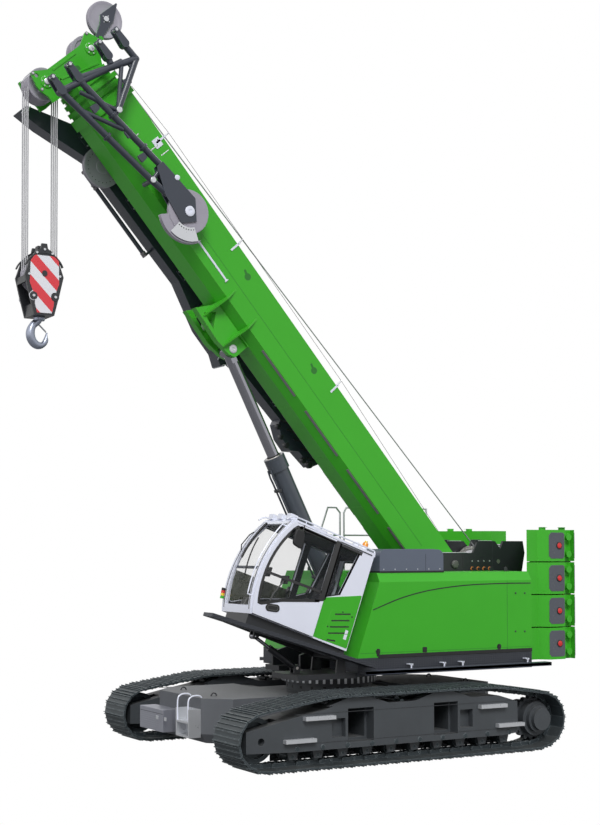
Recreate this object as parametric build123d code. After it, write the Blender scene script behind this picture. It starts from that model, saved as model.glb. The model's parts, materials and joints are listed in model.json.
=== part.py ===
from build123d import *
import math
import os

# Telescopic crawler crane, in millimetres.
# Origin on the ground under the slewing axis, +X towards the boom's head,
# +Y towards the cab's side, +Z up.

# Tracks
track_length = 6590
track_gauge = 4180
track_height = 1182
shoe_width = 815
shoe_count = 66
shoe_plate = 30
grouser_height = 30
grouser_width = 26
chain_depth = 75
chain_width = 230
idler_belt_radius = 493
idler_axle_z = 505
sprocket_belt_radius = 505
sprocket_axle_z = 530
belt_corner_radius = 250
ground_corner_shift = 60
top_run_front_shift = 1300
top_run_rear_shift = 1040

# Wheels and rollers of one track
wheel_clearance = 15
idler_clearance = 0.5
idler_dish_depth = 70
idler_hub_radius = 120
idler_axle_radius = 60
sprocket_teeth = 18
sprocket_tooth_gap = 38
drive_hub_radius = 205
drive_flange_radius = 290
drive_cap_radius = 185
roller_count = 10
roller_radius = 85
roller_axle_radius = 32
roller_front_shift = 650
roller_rear_shift = 710
carrier_radius = 55
carrier_beam_gap = 200

# Side frames
frame_width = 620
frame_bottom_z = 310
frame_top_z = 985
frame_toe_z = 337
frame_nose_z = 668
frame_shoulder_z = 1100
frame_front_reach = 265
frame_rear_reach = 520
arm_thickness = 60
pocket_depth = 210
window_depth = 120
window_bottom_z = 490
window_top_z = 790
window_width = 268
window_gap = 45
bracket_height = 140
bracket_half = 110
bracket_thickness = 50
step_depth = 95
step_thickness = 60
step_length = 560
upper_step_z = 790
lower_step_z = 455

# Car body between the side frames
beam_front_x = 703
beam_front_width = 499
beam_rear_x = -993
beam_rear_width = 494
beam_bottom_z = 401
beam_top_z = 935
beam_wall = 40
hull_half_length = 1300
hull_half_width = 900
hull_bottom_z = 400
hull_top_z = 975
pedestal_radius = 760
pedestal_floor_z = 900
ballast_length = 1680
ballast_half_nose = 770
ballast_half_width = 1150
ballast_nose_depth = 380
ballast_top_z = 1030
ballast_skirt_z = 450
ballast_bottom_z = 290
ballast_taper = 35
tool_box_length = 300
tool_box_y = -485
tool_box_width = 890
tool_box_bottom_z = 400
tool_box_height = 370
ladder_y = 515
ladder_width = 470
ladder_depth = 220
ladder_bottom_z = 390
ladder_top_z = 850
ladder_frame = 30

# Slewing ring and deck
ring_radius = 860
ring_bottom_z = 1130
ring_split_z = 1255
ring_top_z = 1310
ring_gap = 5
ring_wall = 170
gear_step = 25
deck_top_z = 1400
deck_half_width = 700
deck_front_x = 900
deck_rear_x = -3340
web_gap = 870
web_plate = 50
web_top_z = 3392
web_crown_z = 3613
web_top_front_x = -2100
web_crown_front_x = -2880
slot_half = 230
slot_rear_reach = 560

# Housings, hood, side beams and rails
house_half_width = 1555
house_inner_y = 560
house_bottom_z = 1637
house_shoulder_z = 2907
house_top_z = 3060
house_front_x = 439
house_front_lean = 457
house_shoulder_in = 90
house_wall = 30
hood_height = 400
hood_length = 1350
hood_inner_y = 700
hood_front_gap = 64
hood_round = 120
engine_length = 1600
engine_height = 930
catwalk_width = 190
catwalk_top_z = 1430
catwalk_thickness = 50
catwalk_rear_reach = 296
side_beam_drop = 60
rail_height = 1200
rail_mid_drop = 530
rail_tube = 18
rail_inset = 40

# Winches
winch_x = -3480
winch_1_z = 3230
winch_2_z = 2560
drum_half = 380
drum_radius = 200
flange_radius = 290
flange_thickness = 25
drum_axle = 39.95
winch_bore = 40
winch_rear_x = -4120

# Counterweights
cw_front_gap = 30
cw_length = 1150
cw_cut_length = 780
cw_inner_y = 520
cw_plates = 4
cw_bottom_z = 1455
cw_plate_height = 575
cw_seam = 20
cw_corner = 155
cw_strip_length = 250
cw_recess_start = 770
cw_recess_width = 240
cw_recess_depth = 120
cw_boss_radius = 62
cw_boss_pitch = 310
carrier_top_z = 1900

# Boom, in its own frame: u along it, w square to it, pivot at 0, 0
boom_pivot_x = -2609
boom_pivot_z = 2847
boom_angle = 49.1
boom_half_width = 420
boom_top_w = 250
boom_side_w = -517
boom_bottom_w = -627
boom_flat_half = 220
boom_wall = 12
section_gap = 14
section_count = 4
section_start_u = 900
section_stagger = 60
boom_base_end_u = 10700
section_step_u = 130
base_collar_height = 35
base_collar_length = 180
collar_height = 30
collar_length = 80
boom_pin_radius = 90
pin_clearance = 0.05
boom_foot_radius = 230
boom_foot_length = 600
boom_foot_rise = 300
boom_foot_gap_half = 250

# Boom's head
lower_sheave_u = boom_base_end_u + 750
lower_sheave_w = -850
upper_sheave_u = boom_base_end_u + 755
upper_sheave_w = 165
tip_sheave_u = boom_base_end_u + 990
tip_sheave_w = 850
sheave_radius = 270
groove_depth = 32
groove_half = 14
sheave_rim = 55
tip_sheave_radius = 315
sheave_thickness = 60
head_axle_radius = 50
tip_axle_radius = 45
rope_gap = 1
falls_per_side = 4
falls_pitch = 82
rope_radius = 11
head_plate_y = 250
head_plate = 40
head_front_u = boom_base_end_u + 897
head_collar_length = 60
head_tie_low_w = -420
head_tie_top_w = -120
cheek_lug = (boom_base_end_u + 485, -915)
jib_bore_radius = 35
jib_bore_low = (boom_base_end_u + 920, -930)
jib_bore_top = (boom_base_end_u + 740, 335)

# Luffing cylinder
rod_pin_u = 6120
rod_pin_w = -880
cylinder_foot_x = -620
cylinder_foot_z = 1640
barrel_radius = 165
barrel_length = 3865
collar_radius = 190
barrel_collar_length = 250
rod_length = 3430
rod_radius = 105
rod_neck_length = 235
rod_clearance = 6
eye_radius = 130
eye_half_width = 90
luff_pin_radius = 55
luff_pin_half = 205
lug_clearance = 5
lug_radius = 125
neck_length = 400
bore_start = 540
bracket_u = 980
bracket_depth = 400
bracket_half_width = 245
fin_thickness = 30
fin_reach = 80
fin_top_w = -285

# Hook block and hook
block_axle_z = 7870
block_half = 190
block_plate = 40
block_half_width = 330
block_neck_half = 170
block_drop = 670
block_rise = 400
block_lug_rise = 480
block_axle_radius = 45
shank_radius = 60
throat_z = 6930

# Cab, in its own frame: u forward, w up, from its rear bottom corner
cab_x = 620
cab_z = 1830
cab_tilt = 20
cab_side_gap = 35
cab_width = 960
cab_wall = 45
cab_height = 1655
cab_floor_w = -70
cab_roof_u = 1680
cab_nose_u = 2035
cab_nose_w = 718
cab_toe_u = 1960
pillar = 90
window_sill_w = 540
window_knee = (1510, 310)
window_toe = (1860, 140)
window_head_w = 1540
quarter_rear_u = 300
quarter_front_u = 700
door_rear_u = 760
door_thickness = 45
door_gap = 6
door_foot_w = -55
glass_thickness = 8
glass_inset = 15
base_bottom_w = -260
base_side_inset = 60
platform_gap = 40
platform_width = 300
platform_thickness = 60
platform_rear = (-464, -143)
platform_front = (2787, -325)
hinge_u = 60
hinge_w = -165
hinge_radius = 35
hinge_ear_radius = 60
hinge_ear_thickness = 35
lamp_length = 140
lamp_height = 90
lamp_width = 130

# Cab tilting cylinder
console_thickness = 90
console_front_x = 1600
tilt_foot_x = 1350
tilt_foot_z = 1480
tilt_eye_u = 1500
tilt_eye_w = -330
tilt_y = 1040
tilt_barrel_radius = 55
tilt_rod_radius = 30
tilt_eye_radius = 50
tilt_eye_half = 40
tilt_pin_radius = 25
tilt_closed = 760
tilt_ear = 30

# Stowed jib
jib_gap = 140
jib_width = 300
jib_tube = 55
jib_brace = 36
weld_bead = 4
jib_knuckle = 68
jib_lug_half = 45
jib_lug = 25
jib_lug_length = 250
jib_fork_u = 11200
jib_sheave_u = 8472
jib_sheave_w = -350
jib_sheave_radius = 370
jib_cheek_u = 8900
jib_axle_radius = 40
far_sheave_u = 9820
far_sheave_w = -530
far_sheave_radius = 350
strut_rear_u = 8170
strut_front_u = 9960
strut_w = -740
strut_radius = 38


def box(x0, x1, y0, y1, z0, z1):
    size = [abs(s) for s in (x1 - x0, y1 - y0, z1 - z0)]
    return Pos((x0 + x1) / 2, (y0 + y1) / 2, (z0 + z1) / 2) * Box(*size)


def slab_y(face, y0, y1):
    """A face drawn in X and Z, made a plate between two Y planes."""
    turned = Plane(origin=(0, max(y0, y1), 0), x_dir=(1, 0, 0), z_dir=(0, -1, 0))
    return extrude(turned * face, abs(y1 - y0))


def plate_xz(points, y0, y1):
    return slab_y(make_face(Polyline(points, close=True)), y0, y1)


def plate_xy(points, z0, z1):
    return Pos(0, 0, z0) * extrude(make_face(Polyline(points, close=True)), z1 - z0)


def slab_x(points, x0, x1):
    """A closed outline in Y and Z, made a bar between two X planes."""
    face = make_face(Polyline(points, close=True))
    return extrude(Plane(origin=(x0, 0, 0), x_dir=(0, 1, 0), z_dir=(1, 0, 0)) * face, x1 - x0)


def disc_y(x, z, radius, y0, y1):
    return Pos(x, (y0 + y1) / 2, z) * Rot(90, 0, 0) * Cylinder(radius, abs(y1 - y0))


def disc_z(x, y, radius, z0, z1):
    return Pos(x, y, (z0 + z1) / 2) * Cylinder(radius, abs(z1 - z0))


def rod_x(x0, x1, radius):
    return Pos((x0 + x1) / 2, 0, 0) * Rot(0, 90, 0) * Cylinder(radius, x1 - x0)


def tube(start, end, radius):
    """Round bar between two points."""
    a, b = Vector(*start), Vector(*end)
    along = b - a
    plane = Plane(origin=a, z_dir=along.normalized())
    return plane * Pos(0, 0, along.length / 2) * Cylinder(radius, along.length)


def bar(start, end, radius):
    """Round bar between two points, with round ends."""
    return tube(start, end, radius) + Pos(*start) * Sphere(radius) + Pos(*end) * Sphere(radius)


def lobe(x, z, radius, x2, z2, radius2, y0, y1):
    """Plate whose outline wraps two round ends, such as a lug or a link."""
    edges = [edge for end in (Pos(x, z) * Circle(radius), Pos(x2, z2) * Circle(radius2)) for edge in end.edges()]
    return slab_y(make_hull(edges), y0, y1)


def mirror_y(shape):
    return mirror(shape, about=Plane.XZ)


def both(shape):
    """The shape and its mirror image across the machine's middle plane."""
    return [shape, mirror_y(shape)]


def fuse(shapes):
    whole = shapes[0]
    for shape in shapes[1:]:
        whole = whole + shape
    return whole


def save(node, *shapes):
    solids = []
    for shape in shapes:
        for item in shape if isinstance(shape, (list, tuple)) else [shape]:
            solids += item.solids()
    whole = Compound(children=solids) if len(solids) > 1 else solids[0]
    export_step(whole, f"parts/{node}.step")


os.makedirs("parts", exist_ok=True)

# Track belts: the side outline wraps idler, sprocket and the carried top run
half_gauge = track_gauge / 2
idler_x = track_length / 2 - idler_belt_radius
sprocket_x = -(track_length / 2 - sprocket_belt_radius)
plate_inset = grouser_height + shoe_plate
belt_depth = plate_inset + chain_depth


def belt_outline(inset):
    corner_z = track_height - belt_corner_radius
    circles = [(idler_x, idler_axle_z, idler_belt_radius),
               (sprocket_x, sprocket_axle_z, sprocket_belt_radius),
               (idler_x - top_run_front_shift, corner_z, belt_corner_radius),
               (sprocket_x + top_run_rear_shift, corner_z, belt_corner_radius),
               (idler_x - ground_corner_shift, belt_corner_radius, belt_corner_radius),
               (sprocket_x + ground_corner_shift, belt_corner_radius, belt_corner_radius)]
    edges = []
    for x, z, radius in circles:
        edges += (Pos(x, z) * Circle(radius - inset)).edges()
    return make_hull(edges)


def shoe_outline():
    """Shoes' outer outline: each shoe is a flat step with one raised grouser."""
    path = belt_outline(grouser_height).face().outer_wire()
    pitch = path.length / shoe_count
    middle = Vector(0, track_height / 2)
    profile = ((0, 0), (1, grouser_height), (2, grouser_height), (3, 0))
    points = []
    for shoe in range(shoe_count):
        for steps, rise in profile:
            t = (shoe * pitch + steps * grouser_width) / path.length
            spot, tangent = path.position_at(t), path.tangent_at(t)
            outward = Vector(tangent.Y, -tangent.X)
            if outward.dot(Vector(spot.X, spot.Y) - middle) < 0:
                outward = outward * -1
            points.append((spot.X + outward.X * rise, spot.Y + outward.Y * rise))
    low = min(z for x, z in points)
    return make_face(Polyline([(x, z - low) for x, z in points], close=True))


def track():
    shoes = slab_y(shoe_outline(), -shoe_width / 2, shoe_width / 2)
    shoes -= slab_y(belt_outline(plate_inset), -shoe_width, shoe_width)
    chain = slab_y(belt_outline(plate_inset), -chain_width / 2, chain_width / 2)
    return shoes + (chain - slab_y(belt_outline(belt_depth), -shoe_width, shoe_width))


belt = track()
save("track_left", Pos(0, half_gauge, 0) * belt)
save("track_right", Pos(0, -half_gauge, 0) * belt)

# Side frames, wheels and drives: built on the left, mirrored to the right
frame_in_y = half_gauge - frame_width / 2
frame_out_y = half_gauge + frame_width / 2
wheel_half = chain_width / 2 - wheel_clearance
fork_gap = chain_width / 2 + 10
idler_radius = idler_belt_radius - belt_depth - idler_clearance
sprocket_radius = sprocket_belt_radius - belt_depth
roller_z = belt_depth + roller_radius
roller_first_x = sprocket_x + roller_rear_shift
roller_pitch = (idler_x - roller_front_shift - roller_first_x) / (roller_count - 1)
roller_xs = [roller_first_x + i * roller_pitch for i in range(roller_count)]
beam_front = (beam_front_x, beam_front_x + beam_front_width)
beam_rear = (beam_rear_x, beam_rear_x + beam_rear_width)
carrier_xs = (beam_rear[0] - carrier_beam_gap, (beam_rear[1] + beam_front[0]) / 2,
              beam_front[1] + carrier_beam_gap)
carrier_z = track_height - belt_depth - carrier_radius


def frame_outline():
    front, rear = idler_x + frame_front_reach, sprocket_x + frame_rear_reach
    return [(front - 860, frame_bottom_z), (front, frame_toe_z), (front, frame_nose_z),
            (front - 910, frame_top_z - 138), (front - 1450, frame_top_z - 45), (front - 1600, frame_top_z),
            (rear + 400, frame_top_z), (rear, frame_top_z - 117), (rear, frame_toe_z), (rear + 320, frame_bottom_z)]


def side_frame():
    frame = plate_xz(frame_outline(), frame_in_y, frame_out_y)
    fork_x = idler_x - idler_radius - 45
    frame -= box(fork_x, idler_x + 2 * frame_front_reach, half_gauge - fork_gap, half_gauge + fork_gap,
                 0, track_height)
    frame -= disc_y(idler_x, idler_axle_z, idler_axle_radius, frame_in_y, frame_out_y)
    frame += lobe(sprocket_x + frame_rear_reach - 30, sprocket_axle_z, 190, sprocket_x, sprocket_axle_z,
                  drive_flange_radius, frame_in_y, frame_in_y + 2 * arm_thickness)
    for x0, x1 in (beam_front, beam_rear):
        for side in (-1, 1):
            near, far = half_gauge + side * (fork_gap + 10), half_gauge + side * (frame_width / 2)
            frame += plate_xz([(x0 - 300, frame_top_z), (x0 + 80, frame_shoulder_z), (x1, frame_shoulder_z),
                               (x1 + 380, frame_top_z)], near, far)
        frame -= box(x0, x1, frame_in_y, frame_out_y, beam_bottom_z, beam_top_z)
    for x in carrier_xs:
        frame -= box(x - 80, x + 80, half_gauge - fork_gap, half_gauge + fork_gap,
                     carrier_z - carrier_radius - 15, track_height)
        frame -= disc_y(x, carrier_z, 30, half_gauge - 2 * fork_gap, half_gauge + 2 * fork_gap)
    window_xs = (beam_front[1] + window_gap, beam_rear[0] - window_gap - window_width)
    for x in window_xs:
        frame -= box(x, x + window_width, frame_out_y - window_depth, frame_out_y, window_bottom_z, window_top_z)
    for x in roller_xs:
        for side in (-1, 1):
            y = half_gauge + side * fork_gap
            frame += plate_xz([(x - bracket_half, frame_bottom_z), (x - bracket_half + 40, frame_bottom_z - bracket_height),
                               (x + bracket_half - 40, frame_bottom_z - bracket_height),
                               (x + bracket_half, frame_bottom_z)], y, y + side * bracket_thickness)
            frame -= disc_y(x, roller_z, roller_axle_radius, y, y + side * bracket_thickness)
    return frame


frame_left = side_frame()
save("track_frame_left", frame_left)
save("track_frame_right", mirror_y(frame_left))


def idler_wheel():
    wheel = disc_y(idler_x, idler_axle_z, idler_radius, half_gauge - wheel_half, half_gauge + wheel_half)
    for side in (-1, 1):
        wheel -= disc_y(idler_x, idler_axle_z, idler_radius - idler_dish_depth,
                        half_gauge + side * (wheel_half - 55), half_gauge + side * wheel_half)
    wheel += disc_y(idler_x, idler_axle_z, idler_hub_radius, half_gauge - wheel_half, half_gauge + wheel_half)
    reach = fork_gap + arm_thickness
    return wheel + disc_y(idler_x, idler_axle_z, idler_axle_radius, half_gauge - reach, half_gauge + reach)


def drive_sprocket():
    wheel = disc_y(sprocket_x, sprocket_axle_z, sprocket_radius, half_gauge - 50, half_gauge + 50)
    for tooth in range(sprocket_teeth):
        angle = 2 * math.pi * tooth / sprocket_teeth
        wheel -= disc_y(sprocket_x + sprocket_radius * math.cos(angle),
                        sprocket_axle_z + sprocket_radius * math.sin(angle),
                        sprocket_tooth_gap, half_gauge - 60, half_gauge + 60)
    for radius, y0, y1 in ((drive_hub_radius, frame_in_y + 2 * arm_thickness, half_gauge + 60),
                           (drive_flange_radius, half_gauge + 60, half_gauge + 190),
                           (drive_flange_radius - 60, half_gauge + 190, half_gauge + 270),
                           (drive_cap_radius, half_gauge + 270, half_gauge + 350)):
        wheel += disc_y(sprocket_x, sprocket_axle_z, radius, y0, y1)
    return wheel


rollers = both(idler_wheel())
for x in roller_xs:
    roller = disc_y(x, roller_z, roller_radius, half_gauge - wheel_half, half_gauge + wheel_half)
    reach = fork_gap + bracket_thickness
    roller += disc_y(x, roller_z, roller_axle_radius, half_gauge - reach, half_gauge + reach)
    rollers += both(roller)
for x in carrier_xs:
    rollers += both(disc_y(x, carrier_z, carrier_radius, half_gauge - wheel_half, half_gauge + wheel_half)
                    + disc_y(x, carrier_z, 30, half_gauge - 2 * fork_gap, half_gauge + 2 * fork_gap))
save("track_rollers", rollers)
save("drive_sprockets", both(drive_sprocket()))


# Car body: hull, hollow cross beams and the ring's pedestal
def car_body():
    hull = box(-hull_half_length, hull_half_length, -hull_half_width, hull_half_width, hull_bottom_z, hull_top_z)
    beam_end = frame_out_y - pocket_depth
    for x0, x1 in (beam_front, beam_rear):
        hull += box(x0, x1, -beam_end, beam_end, beam_bottom_z, beam_top_z)
        for side in (-1, 1):
            hull -= box(x0 + beam_wall, x1 - beam_wall, side * (hull_half_width + 2 * beam_wall), side * beam_end,
                        beam_bottom_z + beam_wall, beam_top_z - beam_wall)
    hull += disc_z(0, 0, pedestal_radius, hull_top_z, ring_bottom_z)
    return hull - disc_z(0, 0, pedestal_radius - ring_wall, pedestal_floor_z, ring_bottom_z)


save("car_body", car_body())

gear = disc_z(0, 0, ring_radius - gear_step, ring_bottom_z, ring_split_z)
save("slewing_ring_gear", gear - disc_z(0, 0, ring_radius - ring_wall, ring_bottom_z, ring_split_z))

nose_x = hull_half_length + ballast_length


def ballast_block():
    """Block with cut front corners, its foot drawn in all round."""
    points = [(hull_half_length, -ballast_half_width), (nose_x - ballast_nose_depth, -ballast_half_width),
              (nose_x, -ballast_half_nose), (nose_x, ballast_half_nose),
              (nose_x - ballast_nose_depth, ballast_half_width), (hull_half_length, ballast_half_width)]
    foot = Pos(0, 0, ballast_skirt_z) * extrude(make_face(Polyline(points, close=True)),
                                                ballast_skirt_z - ballast_bottom_z, dir=(0, 0, -1),
                                                taper=ballast_taper)
    return plate_xy(points, ballast_skirt_z, ballast_top_z) + foot


ballast = ballast_block()
save("car_body_ballast", ballast, mirror(ballast, about=Plane.YZ))
save("tool_box", box(nose_x, nose_x + tool_box_length, tool_box_y - tool_box_width / 2, tool_box_y + tool_box_width / 2,
                     tool_box_bottom_z, tool_box_bottom_z + tool_box_height))


def front_ladder():
    y0, y1 = ladder_y - ladder_width / 2, ladder_y + ladder_width / 2
    ladder = box(nose_x, nose_x + ladder_depth, y0, y1, ladder_bottom_z, ladder_top_z)
    rung_z = (ladder_bottom_z + ladder_top_z) / 2
    for z0, z1 in ((ladder_bottom_z, rung_z), (rung_z, ladder_top_z)):
        ladder -= box(nose_x + ladder_frame, nose_x + ladder_depth, y0 + ladder_frame, y1 - ladder_frame,
                      z0 + ladder_frame, z1)
    return ladder


upper_xs = (beam_front[1] + 285, beam_rear[0] - 425 - step_length)
lower_xs = (upper_xs[0] + 360, upper_xs[1] - 375)
steps = [front_ladder()]
for xs, z in ((upper_xs, upper_step_z), (lower_xs, lower_step_z)):
    for x in xs:
        steps += both(box(x, x + step_length, frame_out_y, frame_out_y + step_depth, z, z + step_thickness))
save("boarding_steps", steps)

# Slewing ring and deck frame
bearing = disc_z(0, 0, ring_radius, ring_split_z + ring_gap, ring_top_z)
save("slewing_ring_bearing", bearing - disc_z(0, 0, ring_radius - ring_wall, ring_split_z, ring_top_z))

web_inner = web_gap / 2
web_outer = web_inner + web_plate


def deck_frame():
    """Deck plate with a slot ahead of the luffing cylinder's foot, and two tall webs for the boom."""
    deck = box(deck_rear_x, deck_front_x, -deck_half_width, deck_half_width, ring_top_z, deck_top_z)
    deck -= box(cylinder_foot_x - slot_rear_reach, deck_front_x, -slot_half, slot_half, ring_top_z, deck_top_z)
    web = [(deck_rear_x, deck_top_z), (deck_front_x, deck_top_z), (deck_front_x, house_bottom_z),
           (-150, house_bottom_z + 300), (-1500, house_bottom_z + 710), (web_top_front_x + 200, web_top_z - 200),
           (web_top_front_x, web_top_z), (web_crown_front_x, web_top_z), (web_crown_front_x - 115, web_crown_z),
           (deck_rear_x, web_crown_z)]
    foot_top_z = deck_top_z + 100
    for side in (-1, 1):
        deck += plate_xz(web, side * web_inner, side * web_outer)
        deck -= disc_y(boom_pivot_x, boom_pivot_z, boom_pin_radius, side * web_inner, side * web_outer)
        lug = lobe(cylinder_foot_x, cylinder_foot_z, lug_radius, cylinder_foot_x, deck_top_z, lug_radius + 25,
                   side * (eye_half_width + lug_clearance), side * slot_half)
        lug -= box(cylinder_foot_x - 2 * lug_radius, cylinder_foot_x + 2 * lug_radius, -slot_half, slot_half,
                   deck_top_z - 2 * lug_radius, deck_top_z)
        deck += lug - disc_y(cylinder_foot_x, cylinder_foot_z, luff_pin_radius, -slot_half, slot_half)
        deck += box(cylinder_foot_x - lug_radius - 25, cylinder_foot_x + lug_radius + 25, side * slot_half,
                    side * web_inner, deck_top_z, foot_top_z)
    return deck


save("deck_frame", deck_frame())
boom_pin = disc_y(boom_pivot_x, boom_pivot_z, boom_pin_radius, web_inner, web_outer + 25)
foot_pin = disc_y(cylinder_foot_x, cylinder_foot_z, luff_pin_radius, eye_half_width + lug_clearance, slot_half + 10)
tilt_pin = disc_y(tilt_foot_x, tilt_foot_z, tilt_pin_radius, tilt_y - tilt_eye_half - 35, tilt_y + tilt_eye_half + 35)
save("deck_pins", both(boom_pin), both(foot_pin), tilt_pin)

# Side beams with their catwalks
beam = box(deck_rear_x, house_front_x, deck_half_width, house_half_width, deck_top_z - side_beam_drop, house_bottom_z)
walk_rear_x = deck_rear_x - catwalk_rear_reach
beam += box(walk_rear_x, house_front_x - 28, house_half_width, house_half_width + catwalk_width,
            catwalk_top_z - catwalk_thickness, catwalk_top_z)
save("side_beams", both(beam))

# Housings: hollow, with a slanted front and a narrow chamfer along the top
house_top_front_x = house_front_x - house_front_lean
shoulder_y = house_half_width - house_shoulder_in


def housing_body(wall):
    front_x, top_x, rear_x = house_front_x - wall, house_top_front_x - wall, deck_rear_x + wall
    side_line = [(front_x, house_bottom_z + wall), (top_x, house_shoulder_z), (top_x, house_top_z - wall),
                 (rear_x, house_top_z - wall), (rear_x, house_bottom_z + wall)]
    section = [(house_inner_y + wall, house_bottom_z + wall), (house_half_width - wall, house_bottom_z + wall),
               (house_half_width - wall, house_shoulder_z), (shoulder_y - wall, house_top_z - wall),
               (house_inner_y + wall, house_top_z - wall)]
    return plate_xz(side_line, house_inner_y, house_half_width) & slab_x(section, deck_rear_x, house_front_x)


save("housings", both(housing_body(0) - housing_body(house_wall)))

engine_rear_x = deck_rear_x + 240
save("engine_block", box(engine_rear_x, engine_rear_x + engine_length, -(house_half_width - 150),
                         -(house_inner_y + 90), house_bottom_z + house_wall, house_bottom_z + engine_height))

hood_front_x = house_top_front_x - hood_front_gap
hood = box(hood_front_x - hood_length, hood_front_x, hood_inner_y, shoulder_y, house_top_z, house_top_z + hood_height)
top_edges = hood.edges().filter_by(Axis.Y).group_by(Axis.Z)[-1]
save("air_hood", fillet(top_edges, hood_round))


# Winches between plates that carry on from the deck's webs
def winch_plate(side):
    outline = [(deck_rear_x, winch_2_z - 260), (deck_rear_x, web_crown_z), (deck_rear_x - 60, web_crown_z),
               (deck_rear_x - 190, web_top_z + 76), (deck_rear_x - 258, web_crown_z),
               (winch_rear_x + 45, web_crown_z), (winch_rear_x, web_top_z), (winch_rear_x + 220, winch_2_z - 260)]
    plate = plate_xz(outline, side * web_inner, side * web_outer)
    for z in (winch_1_z, winch_2_z):
        plate -= disc_y(winch_x, z, winch_bore, -web_outer, web_outer)
    return plate


cross_x = winch_rear_x + 120
tie = box(cross_x, cross_x + 100, -web_inner, web_inner, web_top_z - 160, web_top_z - 60)
save("winch_frame", winch_plate(-1) + tie + winch_plate(1))


def winch_drum(z):
    drum = disc_y(winch_x, z, drum_radius, -drum_half, drum_half)
    for side in (-1, 1):
        drum += disc_y(winch_x, z, flange_radius, side * (drum_half - flange_thickness), side * drum_half)
    return drum + disc_y(winch_x, z, drum_axle, -web_outer, web_outer)


save("winch_drum_1", winch_drum(winch_1_z))
save("winch_drum_2", winch_drum(winch_2_z))

# Counterweight: two stacks of plates on a carrier
cw_front_x = deck_rear_x - cw_front_gap
cw_rear_x = cw_front_x - cw_length
cw_cut_x = cw_front_x - cw_cut_length
recess_x = cw_front_x - cw_recess_start


def weight_plate(z0):
    strip_x, side_y = cw_front_x - cw_strip_length, house_half_width - cw_corner
    points = [(cw_cut_x, cw_inner_y), (cw_front_x, side_y), (strip_x, side_y),
              (strip_x - cw_corner, house_half_width), (cw_rear_x + cw_corner, house_half_width),
              (cw_rear_x, side_y), (cw_rear_x, cw_inner_y)]
    plate = plate_xy(points, z0, z0 + cw_plate_height)
    plate -= box(recess_x - cw_recess_width, recess_x, house_half_width - cw_recess_depth, house_half_width,
                 z0, z0 + cw_plate_height)
    for side in (-1, 1):
        plate += disc_y(recess_x - cw_recess_width / 2, z0 + cw_plate_height / 2 + side * cw_boss_pitch / 2,
                        cw_boss_radius, house_half_width - cw_recess_depth, house_half_width - 15)
    return plate


def weight_stack():
    pitch = cw_plate_height + cw_seam
    stack = fuse([weight_plate(cw_bottom_z + number * pitch) for number in range(cw_plates)])
    for number in range(1, cw_plates):
        z0 = cw_bottom_z + number * pitch
        stack += box(cw_rear_x + 60, cw_cut_x, cw_inner_y + 60, house_half_width - cw_corner - 40,
                     z0 - cw_seam, z0)
    top_z = cw_bottom_z + cw_plates * pitch - cw_seam
    for x in (recess_x + 350, recess_x - cw_recess_width / 2):
        stack += disc_z(x, house_half_width - cw_recess_depth - 90, cw_boss_radius, top_z, top_z + 50)
    return stack


save("counterweights", both(weight_stack()))
save("counterweight_carrier", box(cw_rear_x + 100, deck_rear_x, -cw_inner_y, cw_inner_y, deck_top_z, carrier_top_z))

# Boom: nested box sections with cut lower corners
boom_turn = Pos(boom_pivot_x, 0, boom_pivot_z) * Rot(0, -boom_angle, 0)
section_inset = boom_wall + section_gap


def boom_bar(inset, u0, u1):
    half, side_w = boom_half_width - inset, boom_side_w + inset * 0.4
    flat, top_w, bottom_w = boom_flat_half - inset * 0.4, boom_top_w - inset, boom_bottom_w + inset
    return slab_x([(-half, top_w), (half, top_w), (half, side_w), (flat, bottom_w), (-flat, bottom_w),
                   (-half, side_w)], u0, u1)


def boom_tube(inset, u0, u1):
    return boom_bar(inset, u0, u1) - boom_bar(inset + boom_wall, u0 - 10, u1 + 10)


def cylinder_bracket():
    """Box under the boom that carries the luffing cylinder's upper pin, with two fins up each side."""
    low_w = boom_bottom_w - bracket_depth
    u0, u1 = rod_pin_u - 145, rod_pin_u + bracket_u
    outline = [(u0, boom_bottom_w), (u0 + 10, rod_pin_w - 60), (rod_pin_u - 20, rod_pin_w - lug_radius),
               (rod_pin_u + 290, low_w - 30), (u1, low_w), (u1 - 215, boom_bottom_w)]
    hole = [(u1 - 290, boom_bottom_w - 130), (u1 - 160, low_w + 75), (u1 - 480, low_w + 40)]
    pieces = []
    for side in (-1, 1):
        near, far = side * (eye_half_width + lug_clearance), side * bracket_half_width
        plate = plate_xz(outline, near, far)
        plate -= disc_y(rod_pin_u, rod_pin_w, luff_pin_radius, near, far)
        plate -= plate_xz(hole, near, far)
        plate -= box(u0 - 100, rod_pin_u + 150, side * (luff_pin_half - 5), far, low_w - 100, boom_bottom_w - 20)
        pieces.append(plate)
    for u in (rod_pin_u + 150, rod_pin_u + 770):
        fin = [(boom_half_width - 40, boom_side_w + 60), (boom_half_width, fin_top_w),
               (boom_half_width + fin_reach, boom_side_w - 45), (boom_half_width + 30, boom_side_w - 150),
               (bracket_half_width, low_w + 10), (0, low_w + 10), (0, boom_bottom_w)]
        fin = slab_x([(y, w) for y, w in fin], u, u + fin_thickness)
        fin -= boom_bar(boom_wall / 2, u - 10, u + fin_thickness + 10)
        fin -= box(u - 10, u + fin_thickness + 10, 0, eye_half_width + lug_clearance, low_w, boom_bottom_w - 10)
        pieces += both(fin)
    return pieces


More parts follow.
